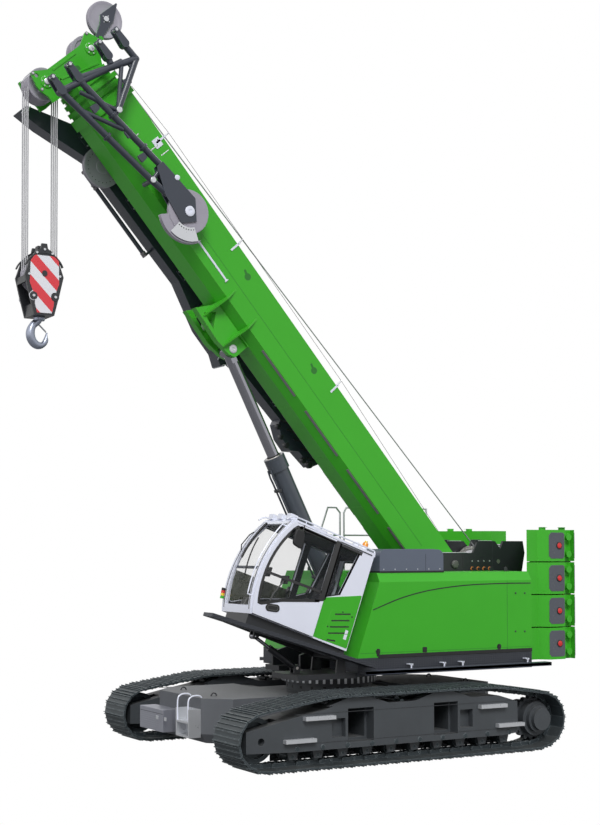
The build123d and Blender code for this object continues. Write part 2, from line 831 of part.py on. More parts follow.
def boom_base():
    base = boom_tube(0, boom_foot_length, boom_base_end_u) + boom_bar(0, boom_foot_length / 2, boom_foot_length)
    foot = lobe(0, 0, boom_foot_radius, boom_foot_length - 100, -150, boom_foot_rise, -boom_half_width + 10,
                boom_half_width - 10)
    foot -= box(boom_foot_length / 2 + 100, 2 * boom_foot_length, -boom_half_width, boom_half_width,
                boom_bottom_w, boom_top_w)
    foot -= disc_y(0, 0, boom_pin_radius + pin_clearance, -boom_half_width, boom_half_width)
    foot -= box(-2 * boom_foot_radius, boom_foot_radius + 20, -boom_foot_gap_half, boom_foot_gap_half,
                boom_bottom_w, boom_top_w)
    base += foot
    start_u = boom_base_end_u - base_collar_length
    base += boom_bar(-base_collar_height, start_u, boom_base_end_u) - boom_bar(boom_wall, start_u - 10,
                                                                              boom_base_end_u + 10)
    for piece in cylinder_bracket():
        base += piece
    return base


save("boom_base", boom_turn * boom_base())
save("luff_pin", boom_turn * disc_y(rod_pin_u, rod_pin_w, luff_pin_radius, -luff_pin_half, luff_pin_half))

for number in range(2, section_count + 1):
    inset = (number - 1) * section_inset
    end_u = boom_base_end_u + (number - 1) * section_step_u
    section = boom_tube(inset, section_start_u + section_stagger * number, end_u)
    section += boom_bar(inset - collar_height, end_u - collar_length, end_u) - boom_bar(inset + boom_wall, 0, end_u + 10)
    save(f"boom_section_{number}", boom_turn * section)


# Boom's head: two cheeks with rope guards' lugs, ties between them and the tip sheave's bracket
def head_cheek(side):
    start_u = boom_base_end_u + (section_count - 1) * section_step_u + head_collar_length
    inset = (section_count - 1) * section_inset
    guard = sheave_radius - 15
    outline = [(start_u, boom_top_w - inset), (upper_sheave_u - 165, upper_sheave_w + 75),
               (upper_sheave_u - 10, upper_sheave_w + 235), (upper_sheave_u + 60, upper_sheave_w + 230),
               (upper_sheave_u + guard, upper_sheave_w + 120), (upper_sheave_u + guard, upper_sheave_w + 80),
               (head_front_u, upper_sheave_w - 120), (head_front_u, lower_sheave_w + 130),
               (lower_sheave_u + guard, lower_sheave_w - 95), (lower_sheave_u + guard, lower_sheave_w - 140),
               (lower_sheave_u + 40, lower_sheave_w - 190), (lower_sheave_u - 60, lower_sheave_w - 182),
               (cheek_lug[0] + 60, cheek_lug[1] - 60), (cheek_lug[0] - 50, cheek_lug[1] - 60),
               (cheek_lug[0] - 60, cheek_lug[1] + 60), (start_u, boom_bottom_w + inset)]
    plate = plate_xz(outline, side * head_plate_y, side * (head_plate_y + head_plate))
    bores = ((lower_sheave_u, lower_sheave_w, head_axle_radius), (upper_sheave_u, upper_sheave_w, head_axle_radius),
             (*jib_bore_low, jib_bore_radius), (*jib_bore_top, jib_bore_radius))
    for u, w, radius in bores:
        plate -= disc_y(u, w, radius, -2 * head_plate_y, 2 * head_plate_y)
    return plate


def tip_bracket(side):
    u, w = tip_sheave_u, tip_sheave_w
    foot_w = upper_sheave_w + sheave_radius + 12
    outline = [(upper_sheave_u + 80, foot_w), (u + 5, w - 130), (u + 110, w - 40), (u + 107, w + 330),
               (u - 86, w + 97), (upper_sheave_u, foot_w)]
    y0, y1 = side * (sheave_thickness / 2 + 15), side * (sheave_thickness / 2 + 40)
    return plate_xz(outline, y0, y1) - disc_y(u, w, tip_axle_radius, y0, y1)


def boom_head():
    start_u = boom_base_end_u + (section_count - 1) * section_step_u
    inset = (section_count - 1) * section_inset
    head = boom_bar(inset, start_u, start_u + head_collar_length)
    head += box(start_u + head_collar_length, upper_sheave_u - sheave_radius - 20, -head_plate_y, head_plate_y,
                head_tie_low_w, head_tie_top_w)
    for side in (-1, 1):
        head += head_cheek(side)
        head += tip_bracket(side)
    head += box(upper_sheave_u - 5, upper_sheave_u + 80, -head_plate_y, head_plate_y,
                upper_sheave_w + sheave_radius + 10, upper_sheave_w + sheave_radius + 35)
    for side in (-1, 1):
        head += box(upper_sheave_u - 5, upper_sheave_u + 60, side * head_plate_y, side * (head_plate_y + head_plate),
                    jib_bore_top[1] + jib_bore_radius + 10, upper_sheave_w + sheave_radius + 35)
    return head


save("boom_head", boom_turn * boom_head())


def sheave(u, w, radius, y, bore):
    half = sheave_thickness / 2
    wheel = disc_y(u, w, radius, y - half, y + half)
    wheel -= disc_y(u, w, radius + 1, y - groove_half, y + groove_half) - disc_y(
        u, w, radius - groove_depth, y - groove_half, y + groove_half)
    for side in (-1, 1):
        wheel -= disc_y(u, w, radius - sheave_rim, y + side * groove_half, y + side * half) - disc_y(
            u, w, bore + 45, y + side * groove_half, y + side * half)
    return wheel - disc_y(u, w, bore, y - half, y + half)


def sheave_row(u, w, radius, ys, axle, half):
    """Sheaves fused on one turning sleeve."""
    bore = axle + pin_clearance
    row = fuse([sheave(u, w, radius, y, bore) for y in ys])
    return row + disc_y(u, w, bore + 30, -half, half) - disc_y(u, w, bore, -half, half)


falls_ys = [(i - (falls_per_side - 1) / 2) * falls_pitch for i in range(falls_per_side)]
sleeve_half = head_plate_y - 20
save("head_sheaves", boom_turn * sheave_row(lower_sheave_u, lower_sheave_w, sheave_radius, falls_ys,
                                            head_axle_radius, sleeve_half))
save("return_sheaves", boom_turn * sheave_row(upper_sheave_u, upper_sheave_w, sheave_radius,
                                              (-falls_pitch, falls_pitch), head_axle_radius, sleeve_half))
save("tip_sheave", boom_turn * sheave_row(tip_sheave_u, tip_sheave_w, tip_sheave_radius, (0,),
                                          tip_axle_radius, sheave_thickness / 2 + 10))
axle_half = head_plate_y + head_plate + 30
axles = [disc_y(lower_sheave_u, lower_sheave_w, head_axle_radius, -axle_half, axle_half),
         disc_y(upper_sheave_u, upper_sheave_w, head_axle_radius, -axle_half, axle_half),
         disc_y(tip_sheave_u, tip_sheave_w, tip_axle_radius, -sheave_thickness, sheave_thickness)]
save("head_axles", [boom_turn * axle for axle in axles])


# Luffing cylinder: barrel's foot on the deck, rod's eye on the boom
def boom_spot(u, w):
    turn = math.radians(boom_angle)
    return (boom_pivot_x + u * math.cos(turn) - w * math.sin(turn),
            boom_pivot_z + u * math.sin(turn) + w * math.cos(turn))


pin_x, pin_z = boom_spot(rod_pin_u, rod_pin_w)
cylinder_length = math.hypot(pin_x - cylinder_foot_x, pin_z - cylinder_foot_z)
cylinder_angle = math.degrees(math.atan2(pin_z - cylinder_foot_z, pin_x - cylinder_foot_x))
cylinder_turn = Pos(cylinder_foot_x, 0, cylinder_foot_z) * Rot(0, -cylinder_angle, 0)


def luff_barrel():
    barrel = rod_x(neck_length, barrel_length, barrel_radius)
    barrel += rod_x(barrel_length - barrel_collar_length, barrel_length, collar_radius)
    barrel += disc_y(0, 0, eye_radius, -eye_half_width, eye_half_width)
    barrel += box(0, neck_length + 40, -eye_half_width, eye_half_width, -100, 100)
    barrel -= disc_y(0, 0, luff_pin_radius + 3, -eye_half_width, eye_half_width)
    return barrel - rod_x(bore_start, barrel_length + 10, rod_radius + rod_clearance)


def luff_rod():
    neck_start = cylinder_length - rod_neck_length
    rod = rod_x(cylinder_length - rod_length, neck_start, rod_radius)
    neck = rod_x(neck_start - 10, cylinder_length - eye_radius / 2, rod_radius)
    rod += neck & box(neck_start - 10, cylinder_length, -eye_half_width, eye_half_width, -rod_radius, rod_radius)
    rod += disc_y(cylinder_length, 0, eye_radius, -eye_half_width, eye_half_width)
    return rod - disc_y(cylinder_length, 0, luff_pin_radius + pin_clearance, -eye_half_width, eye_half_width)


save("luff_cylinder_barrel", cylinder_turn * luff_barrel())
save("luff_cylinder_rod", cylinder_turn * luff_rod())

# Rope falls and hook block, hanging plumb under the lower head sheaves
sheave_x, sheave_z = boom_spot(lower_sheave_u, lower_sheave_w)
fall_x = sheave_radius - groove_depth + rope_gap + rope_radius
falls = [disc_z(sheave_x + side * fall_x, y, rope_radius, block_axle_z, sheave_z)
         for y in falls_ys for side in (-1, 1)]
save("rope_falls", falls)


def hook_block():
    half, neck = block_half_width, block_neck_half
    right = [(neck, -block_drop), (half - 70, -330), (half, -40), (half - 95, 230), (half - 190, 350), (60, block_rise),
             (45, block_lug_rise)]
    outline = right + [(-x, z) for x, z in reversed(right)]
    pieces = []
    for side in (-1, 1):
        plate = plate_xz([(sheave_x + x, block_axle_z + z) for x, z in outline],
                         side * block_half, side * (block_half + block_plate))
        pieces.append(plate)
    low_z = block_axle_z - block_drop
    cross = box(sheave_x - neck, sheave_x + neck, -block_half, block_half, low_z, low_z + 190)
    pieces.append(cross - disc_z(sheave_x, 0, shank_radius, low_z, low_z + 190))
    for side in (-1, 1):
        pieces.append(box(sheave_x + side * (half - 20), sheave_x + side * (half - 50), -block_half, block_half,
                          block_axle_z - 150, block_axle_z - 40))
    pieces.append(disc_y(sheave_x, block_axle_z, block_axle_radius, -block_half - 60, block_half + 60))
    return fuse(pieces)


save("hook_block", hook_block())
save("block_sheaves", Pos(sheave_x, 0, block_axle_z) * sheave_row(0, 0, sheave_radius, falls_ys, block_axle_radius,
                                                                  block_half - 10))


def hook():
    """Forged single hook: round sections lofted along its curve, thickest at the back of the bowl."""
    spots = [((0, 245), 55), ((28, 195), 57), ((112, 118), 62), ((148, 0), 74), ((108, -128), 72),
             ((0, -190), 60), ((-95, -140), 46), ((-127, -50), 34), ((-132, 25), 18)]
    curve = Spline(*[Vector(x, 0, z) for (x, z), radius in spots], tangents=[Vector(0, 0, -1), Vector(0, 0, 1)])
    sections = []
    for (x, z), radius in spots:
        t = curve.param_at_point(Vector(x, 0, z))
        across = Plane(origin=(x, 0, z), x_dir=(0, 1, 0), z_dir=curve.tangent_at(t))
        sections.append(across * Circle(radius))
    bowl = Pos(sheave_x, 0, throat_z) * loft(sections)
    cross_z = block_axle_z - block_drop
    shank = disc_z(sheave_x, 0, shank_radius - pin_clearance, throat_z + 235, cross_z + 200)
    return bowl + shank + disc_z(sheave_x, 0, shank_radius + 40, cross_z + 195, cross_z + 250)


save("hook", hook())

# Cab: hollow shell with its windows cut, one sliding door, panes, seat and the frame it tilts on
cab_turn = Pos(cab_x, 0, cab_z) * Rot(0, -cab_tilt, 0)
cab_outer_y = house_half_width - cab_side_gap
cab_inner_y = cab_outer_y - cab_width


def cab_outline(inset):
    """Side outline of the cab, its front an arc from the toe over the nose to the roof."""
    roof_u, roof_w, floor_w = cab_roof_u - inset * 0.8, cab_height - inset, cab_floor_w + inset
    floor = Polyline([(cab_toe_u - inset, floor_w), (inset, floor_w), (inset, roof_w), (roof_u, roof_w)])
    front = ThreePointArc((roof_u, roof_w), (cab_nose_u - inset, cab_nose_w), (cab_toe_u - inset, floor_w))
    return make_face(Wire([*floor.edges(), front.edge()]))


def cab_slab(inset, y0, y1):
    return slab_y(cab_outline(inset), y0, y1)


def side_window(y0, y1):
    """Opening beside the driver: its sill falls from the door's rear post to the front pillar."""
    rear_u, front_u = door_rear_u + 60, cab_nose_u + cab_wall
    outline = [(rear_u, window_sill_w), window_knee, window_toe, (front_u, window_toe[1]), (front_u, window_head_w),
               (rear_u, window_head_w)]
    return cab_slab(pillar, y0, y1) & plate_xz(outline, y0, y1)


def quarter_window(y0, y1):
    return plate_xz([(quarter_rear_u, window_head_w), (quarter_rear_u + 150, window_head_w - 760),
                     (quarter_front_u, window_head_w - 900), (quarter_front_u, window_head_w)], y0, y1)


def cab_shell():
    shell = cab_slab(0, cab_inner_y, cab_outer_y)
    shell -= cab_slab(cab_wall, cab_inner_y + cab_wall, cab_outer_y - cab_wall)
    outside = cab_outer_y + cab_wall
    shell -= cab_slab(pillar, cab_outer_y - cab_wall, outside) & box(door_rear_u, cab_nose_u, 0, outside,
                                                                    cab_floor_w + 60, window_head_w + 20)
    shell -= quarter_window(cab_outer_y - cab_wall, outside)
    far_y = cab_inner_y + cab_wall
    shell -= side_window(cab_inner_y - cab_wall, far_y) + quarter_window(cab_inner_y - cab_wall, far_y)
    shell -= box(cab_roof_u - 180, cab_nose_u + cab_wall, cab_inner_y + pillar, cab_outer_y - pillar, 60, cab_height - 100)
    return shell - box(-cab_wall, cab_wall, cab_inner_y + 120, cab_outer_y - 120, 800, cab_height - 150)


save("cab_shell", cab_turn * cab_shell())

door_y = cab_outer_y + door_gap
door = cab_slab(10, door_y, door_y + door_thickness) & box(door_rear_u - 20, cab_nose_u, 0, 2 * cab_outer_y,
                                                           door_foot_w, window_head_w + 60)
save("cab_door", cab_turn * (door - side_window(door_y, door_y + door_thickness)))
door_pane = side_window(door_y + glass_inset, door_y + glass_inset + glass_thickness)
save("door_glass", cab_turn * door_pane)


def cab_panes():
    pane_y = cab_outer_y - glass_inset - glass_thickness
    far_y = cab_inner_y + glass_inset
    front = cab_slab(glass_inset, cab_inner_y + pillar, cab_outer_y - pillar)
    front -= cab_slab(glass_inset + glass_thickness, cab_inner_y, cab_outer_y)
    front &= box(cab_roof_u - 180, cab_nose_u, cab_inner_y, cab_outer_y, 60, cab_height - 100)
    rear = box(glass_inset, glass_inset + glass_thickness, cab_inner_y + 120, cab_outer_y - 120, 800, cab_height - 150)
    return [quarter_window(pane_y, pane_y + glass_thickness), side_window(far_y, far_y + glass_thickness),
            quarter_window(far_y, far_y + glass_thickness), front, rear]


save("cab_glass", [cab_turn * pane for pane in cab_panes()])

seat_y = (cab_inner_y + cab_outer_y) / 2
seat_floor_w = cab_floor_w + cab_wall
seat = box(500, 900, seat_y - 170, seat_y + 170, seat_floor_w, 300)
seat += box(450, 980, seat_y - 250, seat_y + 250, 300, 430)
seat += plate_xz([(450, 430), (560, 430), (500, 1080), (390, 1080)], seat_y - 240, seat_y + 240)
save("cab_seat", cab_turn * seat)

# Tilting base frame under the cab, with the platform along its outer side
base_y0 = deck_half_width + hinge_ear_thickness + 2 * lug_clearance
base_y1 = cab_outer_y - base_side_inset
platform_y = cab_outer_y + platform_gap


def platform_w(u):
    """Height of the platform's top over the cab's frame: it falls towards the front."""
    fall = (platform_front[1] - platform_rear[1]) / (platform_front[0] - platform_rear[0])
    return platform_rear[1] + (u - platform_rear[0]) * fall


def cab_base_frame():
    base = box(0, cab_toe_u, base_y0, base_y1, base_bottom_w, cab_floor_w)
    base -= box(150, cab_toe_u - 150, base_y0 + 60, base_y1 - 60, base_bottom_w, cab_floor_w - 60)
    base -= disc_y(hinge_u, hinge_w, hinge_radius + pin_clearance, base_y0, base_y1)
    for u in (300, cab_toe_u - 360):
        top_w = platform_w(u)
        base += box(u - 40, u + 40, base_y1, platform_y, top_w - 50, top_w - 10)
    for side in (-1, 1):
        near = tilt_y + side * (tilt_eye_half + lug_clearance)
        ear = lobe(tilt_eye_u, tilt_eye_w, tilt_eye_radius, tilt_eye_u, cab_floor_w - 60, tilt_eye_radius + 30,
                   near, near + side * tilt_ear)
        ear -= box(0, cab_toe_u, base_y0, base_y1, cab_floor_w - 30, cab_height)
        base += ear - disc_y(tilt_eye_u, tilt_eye_w, tilt_pin_radius, base_y0, base_y1)
    return base


save("cab_base_frame", cab_turn * cab_base_frame())
plank = [platform_rear, platform_front, (platform_front[0], platform_front[1] - platform_thickness),
         (platform_rear[0], platform_rear[1] - platform_thickness)]
save("cab_platform", cab_turn * plate_xz(plank, platform_y, platform_y + platform_width))


def cab_spot(u, w):
    lean = math.radians(cab_tilt)
    return (cab_x + u * math.cos(lean) - w * math.sin(lean), cab_z + u * math.sin(lean) + w * math.cos(lean))


def cab_console():
    """Shelf ahead of the deck, with the cab's two hinge ears and the tilting cylinder's foot."""
    top_z = deck_top_z
    shelf = box(house_front_x, console_front_x, deck_half_width, house_half_width - 30, top_z - console_thickness,
                top_z)
    hinge_x, hinge_z = cab_spot(hinge_u, hinge_w)
    for y, side in ((base_y0, -1), (base_y1, 1)):
        near = y + side * lug_clearance
        ear = lobe(hinge_x, hinge_z, hinge_ear_radius, hinge_x, top_z, hinge_ear_radius + 40, near,
                   near + side * hinge_ear_thickness)
        shelf += ear - box(0, 2 * console_front_x, 0, 2 * house_half_width, 0, top_z - console_thickness)
        shelf += disc_y(hinge_x, hinge_z, hinge_radius, near + side * hinge_ear_thickness, y - side * 60)
    for side in (-1, 1):
        near = tilt_y + side * (tilt_eye_half + lug_clearance)
        ear = lobe(tilt_foot_x, tilt_foot_z, 60, tilt_foot_x, top_z, 60, near, near + side * tilt_ear)
        ear -= box(0, 2 * console_front_x, 0, 2 * house_half_width, 0, top_z - console_thickness)
        shelf += ear - disc_y(tilt_foot_x, tilt_foot_z, tilt_pin_radius, 0, 2 * house_half_width)
    return shelf


save("cab_console", cab_console())

# Tilting cylinder
eye_x, eye_z = cab_spot(tilt_eye_u, tilt_eye_w)
tilt_length = math.hypot(eye_x - tilt_foot_x, eye_z - tilt_foot_z)
tilt_angle = math.degrees(math.atan2(eye_z - tilt_foot_z, eye_x - tilt_foot_x))
tilt_turn = Pos(tilt_foot_x, tilt_y, tilt_foot_z) * Rot(0, -tilt_angle, 0)
tilt_barrel = rod_x(60, tilt_closed - 140, tilt_barrel_radius)
tilt_barrel += disc_y(0, 0, tilt_eye_radius, -tilt_eye_half, tilt_eye_half)
tilt_barrel += box(0, 70, -tilt_eye_half, tilt_eye_half, -35, 35)
tilt_barrel -= disc_y(0, 0, tilt_pin_radius + pin_clearance, -tilt_eye_half, tilt_eye_half)
save("tilt_cylinder_barrel", tilt_turn * (tilt_barrel - rod_x(140, tilt_closed, tilt_rod_radius + 5)))
tilt_rod = rod_x(tilt_length - tilt_closed + 160, tilt_length - 40, tilt_rod_radius)
tilt_rod += disc_y(tilt_length, 0, tilt_eye_radius, -tilt_eye_half, tilt_eye_half)
save("tilt_cylinder_rod", tilt_turn * (tilt_rod - disc_y(tilt_length, 0, tilt_pin_radius + 5, -tilt_eye_half,
                                                         tilt_eye_half)))


# Rails on the far housing, lamps on the cab's roof
def rail(points, mid_from, mid_to):
    """Tube rail through points in X and Z, with one middle bar."""
    y = -(shoulder_y - rail_inset)
    runs = [bar((x0, y, z0), (x1, y, z1), rail_tube) for (x0, z0), (x1, z1) in zip(points, points[1:])]
    mid_z = house_top_z + rail_height - rail_mid_drop
    whole = fuse(runs + [bar((mid_from, y, mid_z), (mid_to, y, mid_z), rail_tube)])
    return whole & box(deck_rear_x - rail_height, house_front_x, -2 * house_half_width, 0, house_top_z, 2 * house_top_z)


rail_top_z = house_top_z + rail_height
front_rail = [(-473, house_top_z), (-916, rail_top_z), (-1106, rail_top_z), (-1193, rail_top_z - 97),
              (-1193, house_top_z)]
rear_rail_x = deck_rear_x + 90
rear_rail = [(-1283, house_top_z), (-1283, rail_top_z - 97), (-1341, rail_top_z), (rear_rail_x, rail_top_z),
             (rear_rail_x, house_top_z)]
save("deck_rails", rail(front_rail, -720, -1193), rail(rear_rail, -1283, rear_rail_x))

lamps = [disc_z(250, cab_outer_y - 260, 60, cab_height, cab_height + 110)]
for slot in (0.15, 0.45, 0.75):
    y = cab_inner_y + slot * cab_width
    lamps.append(box(cab_roof_u - lamp_length + 40, cab_roof_u + 40, y, y + lamp_width, cab_height,
                     cab_height + lamp_height))
save("cab_lamps", [cab_turn * lamp for lamp in lamps])

# Stowed jib: a tubular frame on the cab's side, a box section on the far side
jib_y0 = boom_half_width + jib_gap
jib_y1 = jib_y0 + jib_width
jib_mid_y = (jib_y0 + jib_y1) / 2
fork_low, fork_next, fork_high, fork_top = [(jib_fork_u, w) for w in (-965, -588, 87, 471)]
pin_top, pin_mid, bend = (10905, 500), (10433, -327), (9236, -560)
cheek_front = (jib_cheek_u + 470, -270)
main_tubes = [(fork_next, cheek_front), (fork_low, bend), (bend, (jib_cheek_u, -470)), (fork_top, pin_top),
              (fork_next, pin_top), (fork_low, (11000, 250)), (fork_high, (11080, 60)), (pin_top, pin_mid)]
braces = [((11000, 250), pin_mid), ((11020, -700), pin_mid), ((10800, -880), (10150, -450)), (pin_mid, (10380, -445)),
          ((11150, -930), (11150, -600)), (bend, (9300, -280))]


def jib_frame():
    y = jib_mid_y
    tubes = [tube((a[0], y, a[1]), (b[0], y, b[1]), jib_tube) for a, b in main_tubes]
    tubes += [tube((a[0], y, a[1]), (b[0], y, b[1]), jib_brace) for a, b in braces]
    ends = [spot for pair in main_tubes for spot in pair]
    knots = sorted({spot for spot in ends if ends.count(spot) > 1})
    tubes += [Pos(u, y, w) * Sphere(jib_tube + weld_bead) for u, w in knots]
    jib = fuse(tubes)
    for u, w in (fork_low, fork_next, fork_high, fork_top):
        for side in (-1, 1):
            near = y + side * jib_lug_half
            lug = lobe(u, w, jib_knuckle, u + jib_lug_length, w, 45, near, near + side * jib_lug)
            jib += lug - disc_y(u + jib_lug_length, w, 30, jib_y0, jib_y1)
        jib += disc_y(u, w, jib_knuckle, y - jib_lug_half, y + jib_lug_half)
    u, w = jib_sheave_u, jib_sheave_w
    cheek = [(cheek_front[0], w + 130), (cheek_front[0], w - 10), (jib_cheek_u + 40, w - 180), (u - 60, w - 250),
             (u - 200, w), (u + 100, w + 230)]
    for side in (-1, 1):
        near = y + side * jib_lug_half
        jib += plate_xz(cheek, near, near + side * 20)
    axle_half = jib_lug_half + jib_lug
    return jib + disc_y(u, w, jib_axle_radius, y - axle_half, y + axle_half)


save("jib_frame", boom_turn * jib_frame())
save("jib_sheave", boom_turn * sheave(jib_sheave_u, jib_sheave_w, jib_sheave_radius, jib_mid_y,
                                      jib_axle_radius + pin_clearance))

far_sheave_y = -boom_half_width - jib_gap / 2


def jib_box():
    """Folded plate section, with a stowed strut hung below it and a stub axle for its sheave."""
    outline = [(3180, -250), (3300, -575), (3700, -617), (3820, -744), (4090, -737), (4340, -627), (4375, -540),
               (5560, -600), (5780, -650), (5862, -890), (6094, -796), (6600, -788), (7486, -569), (10058, -613),
               (10959, -1008), (11350, -1130), (11350, -960), (10500, -350), (9900, -60), (3180, -60)]
    beam = plate_xz(outline, -jib_y0, -jib_y1)
    beam += rod_x(strut_rear_u, strut_front_u, strut_radius).moved(Location((0, -jib_mid_y, strut_w)))
    for u in (strut_rear_u + 20, strut_front_u - 340):
        beam += box(u - 20, u + 20, -jib_mid_y - 30, -jib_mid_y + 30, strut_w, strut_w + 200)
    return beam + disc_y(far_sheave_u, far_sheave_w, jib_axle_radius, -jib_y0 - 10, far_sheave_y + sheave_thickness / 2)


save("jib_box_section", boom_turn * jib_box())
save("jib_sheave_far", boom_turn * sheave(far_sheave_u, far_sheave_w, far_sheave_radius, far_sheave_y,
                                          jib_axle_radius + pin_clearance))

arm_end_y = jib_mid_y - jib_tube - weld_bead
brackets = [disc_y(u, w, 40, boom_half_width, arm_end_y) for u, w in (pin_mid, bend)]
brackets += [disc_y(u, -200, 60, -boom_half_width, -jib_y0) for u in (3600, 6400, 9500)]
save("jib_brackets", [boom_turn * bracket for bracket in brackets])
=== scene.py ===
import bpy
import json
import math
import numpy as np
from mathutils import Matrix, Vector
from mathutils.geometry import convex_hull_2d


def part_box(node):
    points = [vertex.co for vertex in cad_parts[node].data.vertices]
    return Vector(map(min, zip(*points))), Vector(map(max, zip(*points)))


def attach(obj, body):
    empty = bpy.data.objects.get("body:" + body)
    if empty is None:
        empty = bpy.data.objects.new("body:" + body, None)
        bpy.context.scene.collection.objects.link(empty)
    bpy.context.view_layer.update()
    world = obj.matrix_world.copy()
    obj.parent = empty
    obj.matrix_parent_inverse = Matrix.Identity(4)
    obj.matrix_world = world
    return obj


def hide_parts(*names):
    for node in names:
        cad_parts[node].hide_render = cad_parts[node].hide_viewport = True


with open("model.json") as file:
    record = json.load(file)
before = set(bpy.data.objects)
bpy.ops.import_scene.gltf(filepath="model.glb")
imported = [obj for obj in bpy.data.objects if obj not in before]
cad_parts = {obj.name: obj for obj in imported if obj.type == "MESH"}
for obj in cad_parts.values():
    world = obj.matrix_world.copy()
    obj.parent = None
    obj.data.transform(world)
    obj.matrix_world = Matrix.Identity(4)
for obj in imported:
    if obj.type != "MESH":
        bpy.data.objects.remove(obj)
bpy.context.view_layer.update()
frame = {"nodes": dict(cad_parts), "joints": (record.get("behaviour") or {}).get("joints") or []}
bpy.context.scene.view_settings.view_transform = "Standard"
print("frame loaded:", len(frame["nodes"]), "nodes")

# Frames of the turned parts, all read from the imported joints.
joints = {joint["name"]: joint for joint in frame["joints"]}


# Frame whose first axis lies along the part, second is the machine's left, third square to both
def turnedFrame(origin, along):
    u = np.array(along, float) / np.linalg.norm(along)
    left = np.array((0.0, 1.0, 0.0))
    return np.array(origin, float), np.stack((u, left, np.cross(u, left)))


# Local points (u, y, w) to machine points: origin + each coordinate times its axis
def toWorld(points, place):
    origin, axes = place
    return origin + np.asarray(points, float) @ axes


# All corner points of a CAD node as one array
def cadPoints(node):
    mesh = frame["nodes"][node].data
    flat = np.zeros(len(mesh.vertices) * 3, np.float32)
    mesh.vertices.foreach_get("co", flat)
    return flat.reshape(-1, 3).astype(float)


# Lowest and highest local coordinates of a CAD node in a turned frame
def localBox(node, place):
    origin, axes = place
    local = (cadPoints(node) - origin) @ axes.T
    return local.min(0), local.max(0)


machine = (np.zeros(3), np.eye(3))
boom = turnedFrame(joints["boom_luff"]["pos_m"], joints["telescope"]["axis"])
doorAxis = -np.array(joints["door_slide"]["axis"])
cab = turnedFrame(joints["cab_tilt"]["pos_m"], doorAxis)
cab[0][1] = 0.0
cabLow = localBox("cab_shell", cab)[0]
cabFloor = 0.07
cab = (cab[0] + cabLow[0] * cab[1][0] + (cabLow[2] + cabFloor) * cab[1][2], cab[1])
ram = turnedFrame(joints["luff_rod_swing"]["pos_m"], joints["luff_stroke"]["axis"])


# Mesh parts: each returns (points, faces).
# Several parts as one, their faces shifted past the points before them
def merged(parts):
    points, faces, start = [], [], 0
    for partPoints, partFaces in parts:
        points.append(np.asarray(partPoints, float))
        faces += [tuple(int(i) + start for i in face) for face in partFaces]
        start += len(partPoints)
    return np.concatenate(points), faces


# Boxes between pairs of opposite corners
def blocks(lows, highs):
    lows, highs = np.atleast_2d(lows).astype(float), np.atleast_2d(highs).astype(float)
    corner = np.array([(x, y, z) for x in (0, 1) for y in (0, 1) for z in (0, 1)], float)
    points = (lows[:, None] + corner[None] * (highs - lows)[:, None]).reshape(-1, 3)
    sides = np.array([(0, 1, 3, 2), (4, 6, 7, 5), (0, 4, 5, 1), (2, 3, 7, 6), (0, 2, 6, 4), (1, 5, 7, 3)])
    faces = (sides[None] + 8 * np.arange(len(lows))[:, None, None]).reshape(-1, 4)
    return points, faces.tolist()


# Two unit vectors square to each direction
def acrossOf(direction):
    direction = direction / np.linalg.norm(direction, axis=-1, keepdims=True)
    helper = np.where(np.abs(direction[..., 1:2]) < 0.9, (0.0, 1.0, 0.0), (1.0, 0.0, 0.0))
    first = np.cross(helper, direction)
    first /= np.linalg.norm(first, axis=-1, keepdims=True)
    return first, np.cross(direction, first)


# Round bars: a circle of points about each end, joined by quads and closed by a cap
def rods(starts, ends, radius, sides=12):
    starts, ends = np.atleast_2d(starts).astype(float), np.atleast_2d(ends).astype(float)
    first, second = acrossOf(ends - starts)
    angle = np.linspace(0, 2 * np.pi, sides, endpoint=False)
    ring = (np.cos(angle)[None, :, None] * first[:, None] + np.sin(angle)[None, :, None] * second[:, None])
    radius = np.broadcast_to(np.asarray(radius, float), (len(starts),))[:, None, None]
    points = np.stack((starts[:, None] + ring * radius, ends[:, None] + ring * radius), 1).reshape(-1, 3)
    i = np.arange(sides)
    j = (i + 1) % sides
    quads = np.stack((i, j, j + sides, i + sides), 1)
    faces = []
    for n in range(len(starts)):
        base = 2 * sides * n
        faces += (quads + base).tolist()
        faces += [(base + i[::-1]).tolist(), (base + sides + i).tolist()]
    return points, faces


# Quads between successive loops of points, then a cap on the first and the last loop
def gridFaces(rows, columns):
    i, k = np.meshgrid(np.arange(rows - 1), np.arange(columns), indexing="ij")
    a, b = i * columns + k, i * columns + (k + 1) % columns
    faces = np.stack((a, b, b + columns, a + columns), -1).reshape(-1, 4).tolist()
    return faces + [list(range(columns))[::-1], list(range((rows - 1) * columns, rows * columns))]


# Tube along a path: a circle square to the path's direction at each point
def sweep(path, radius, sides=10):
    path = np.asarray(path, float)
    first, second = acrossOf(np.gradient(path, axis=0))
    angle = np.linspace(0, 2 * np.pi, sides, endpoint=False)
    ring = np.cos(angle)[None, :, None] * first[:, None] + np.sin(angle)[None, :, None] * second[:, None]
    return (path[:, None] + radius * ring).reshape(-1, 3), gridFaces(len(path), sides)


# Profile of (radius, height) pairs turned about an axis; its two ends are closed
def spun(profile, centre, axis=(0, 1, 0), sides=48):
    profile = np.asarray(profile, float)
    axis = np.asarray(axis, float)
    first, second = acrossOf(axis[None])
    angle = np.linspace(0, 2 * np.pi, sides, endpoint=False)[:, None]
    ring = np.cos(angle) * first + np.sin(angle) * second
    points = (np.asarray(centre, float) + profile[:, None, 0:1] * ring[None]
              + profile[:, None, 1:2] * axis / np.linalg.norm(axis)).reshape(-1, 3)
    return points, gridFaces(len(profile), sides)


# Open ring: a closed profile turned about an axis, with no caps
def rings(profile, centre, axis=(0, 0, 1), sides=96):
    profile = np.asarray(profile, float)
    points, faces = spun(np.concatenate((profile, profile[:1])), centre, axis, sides)
    return points, faces[:-2]


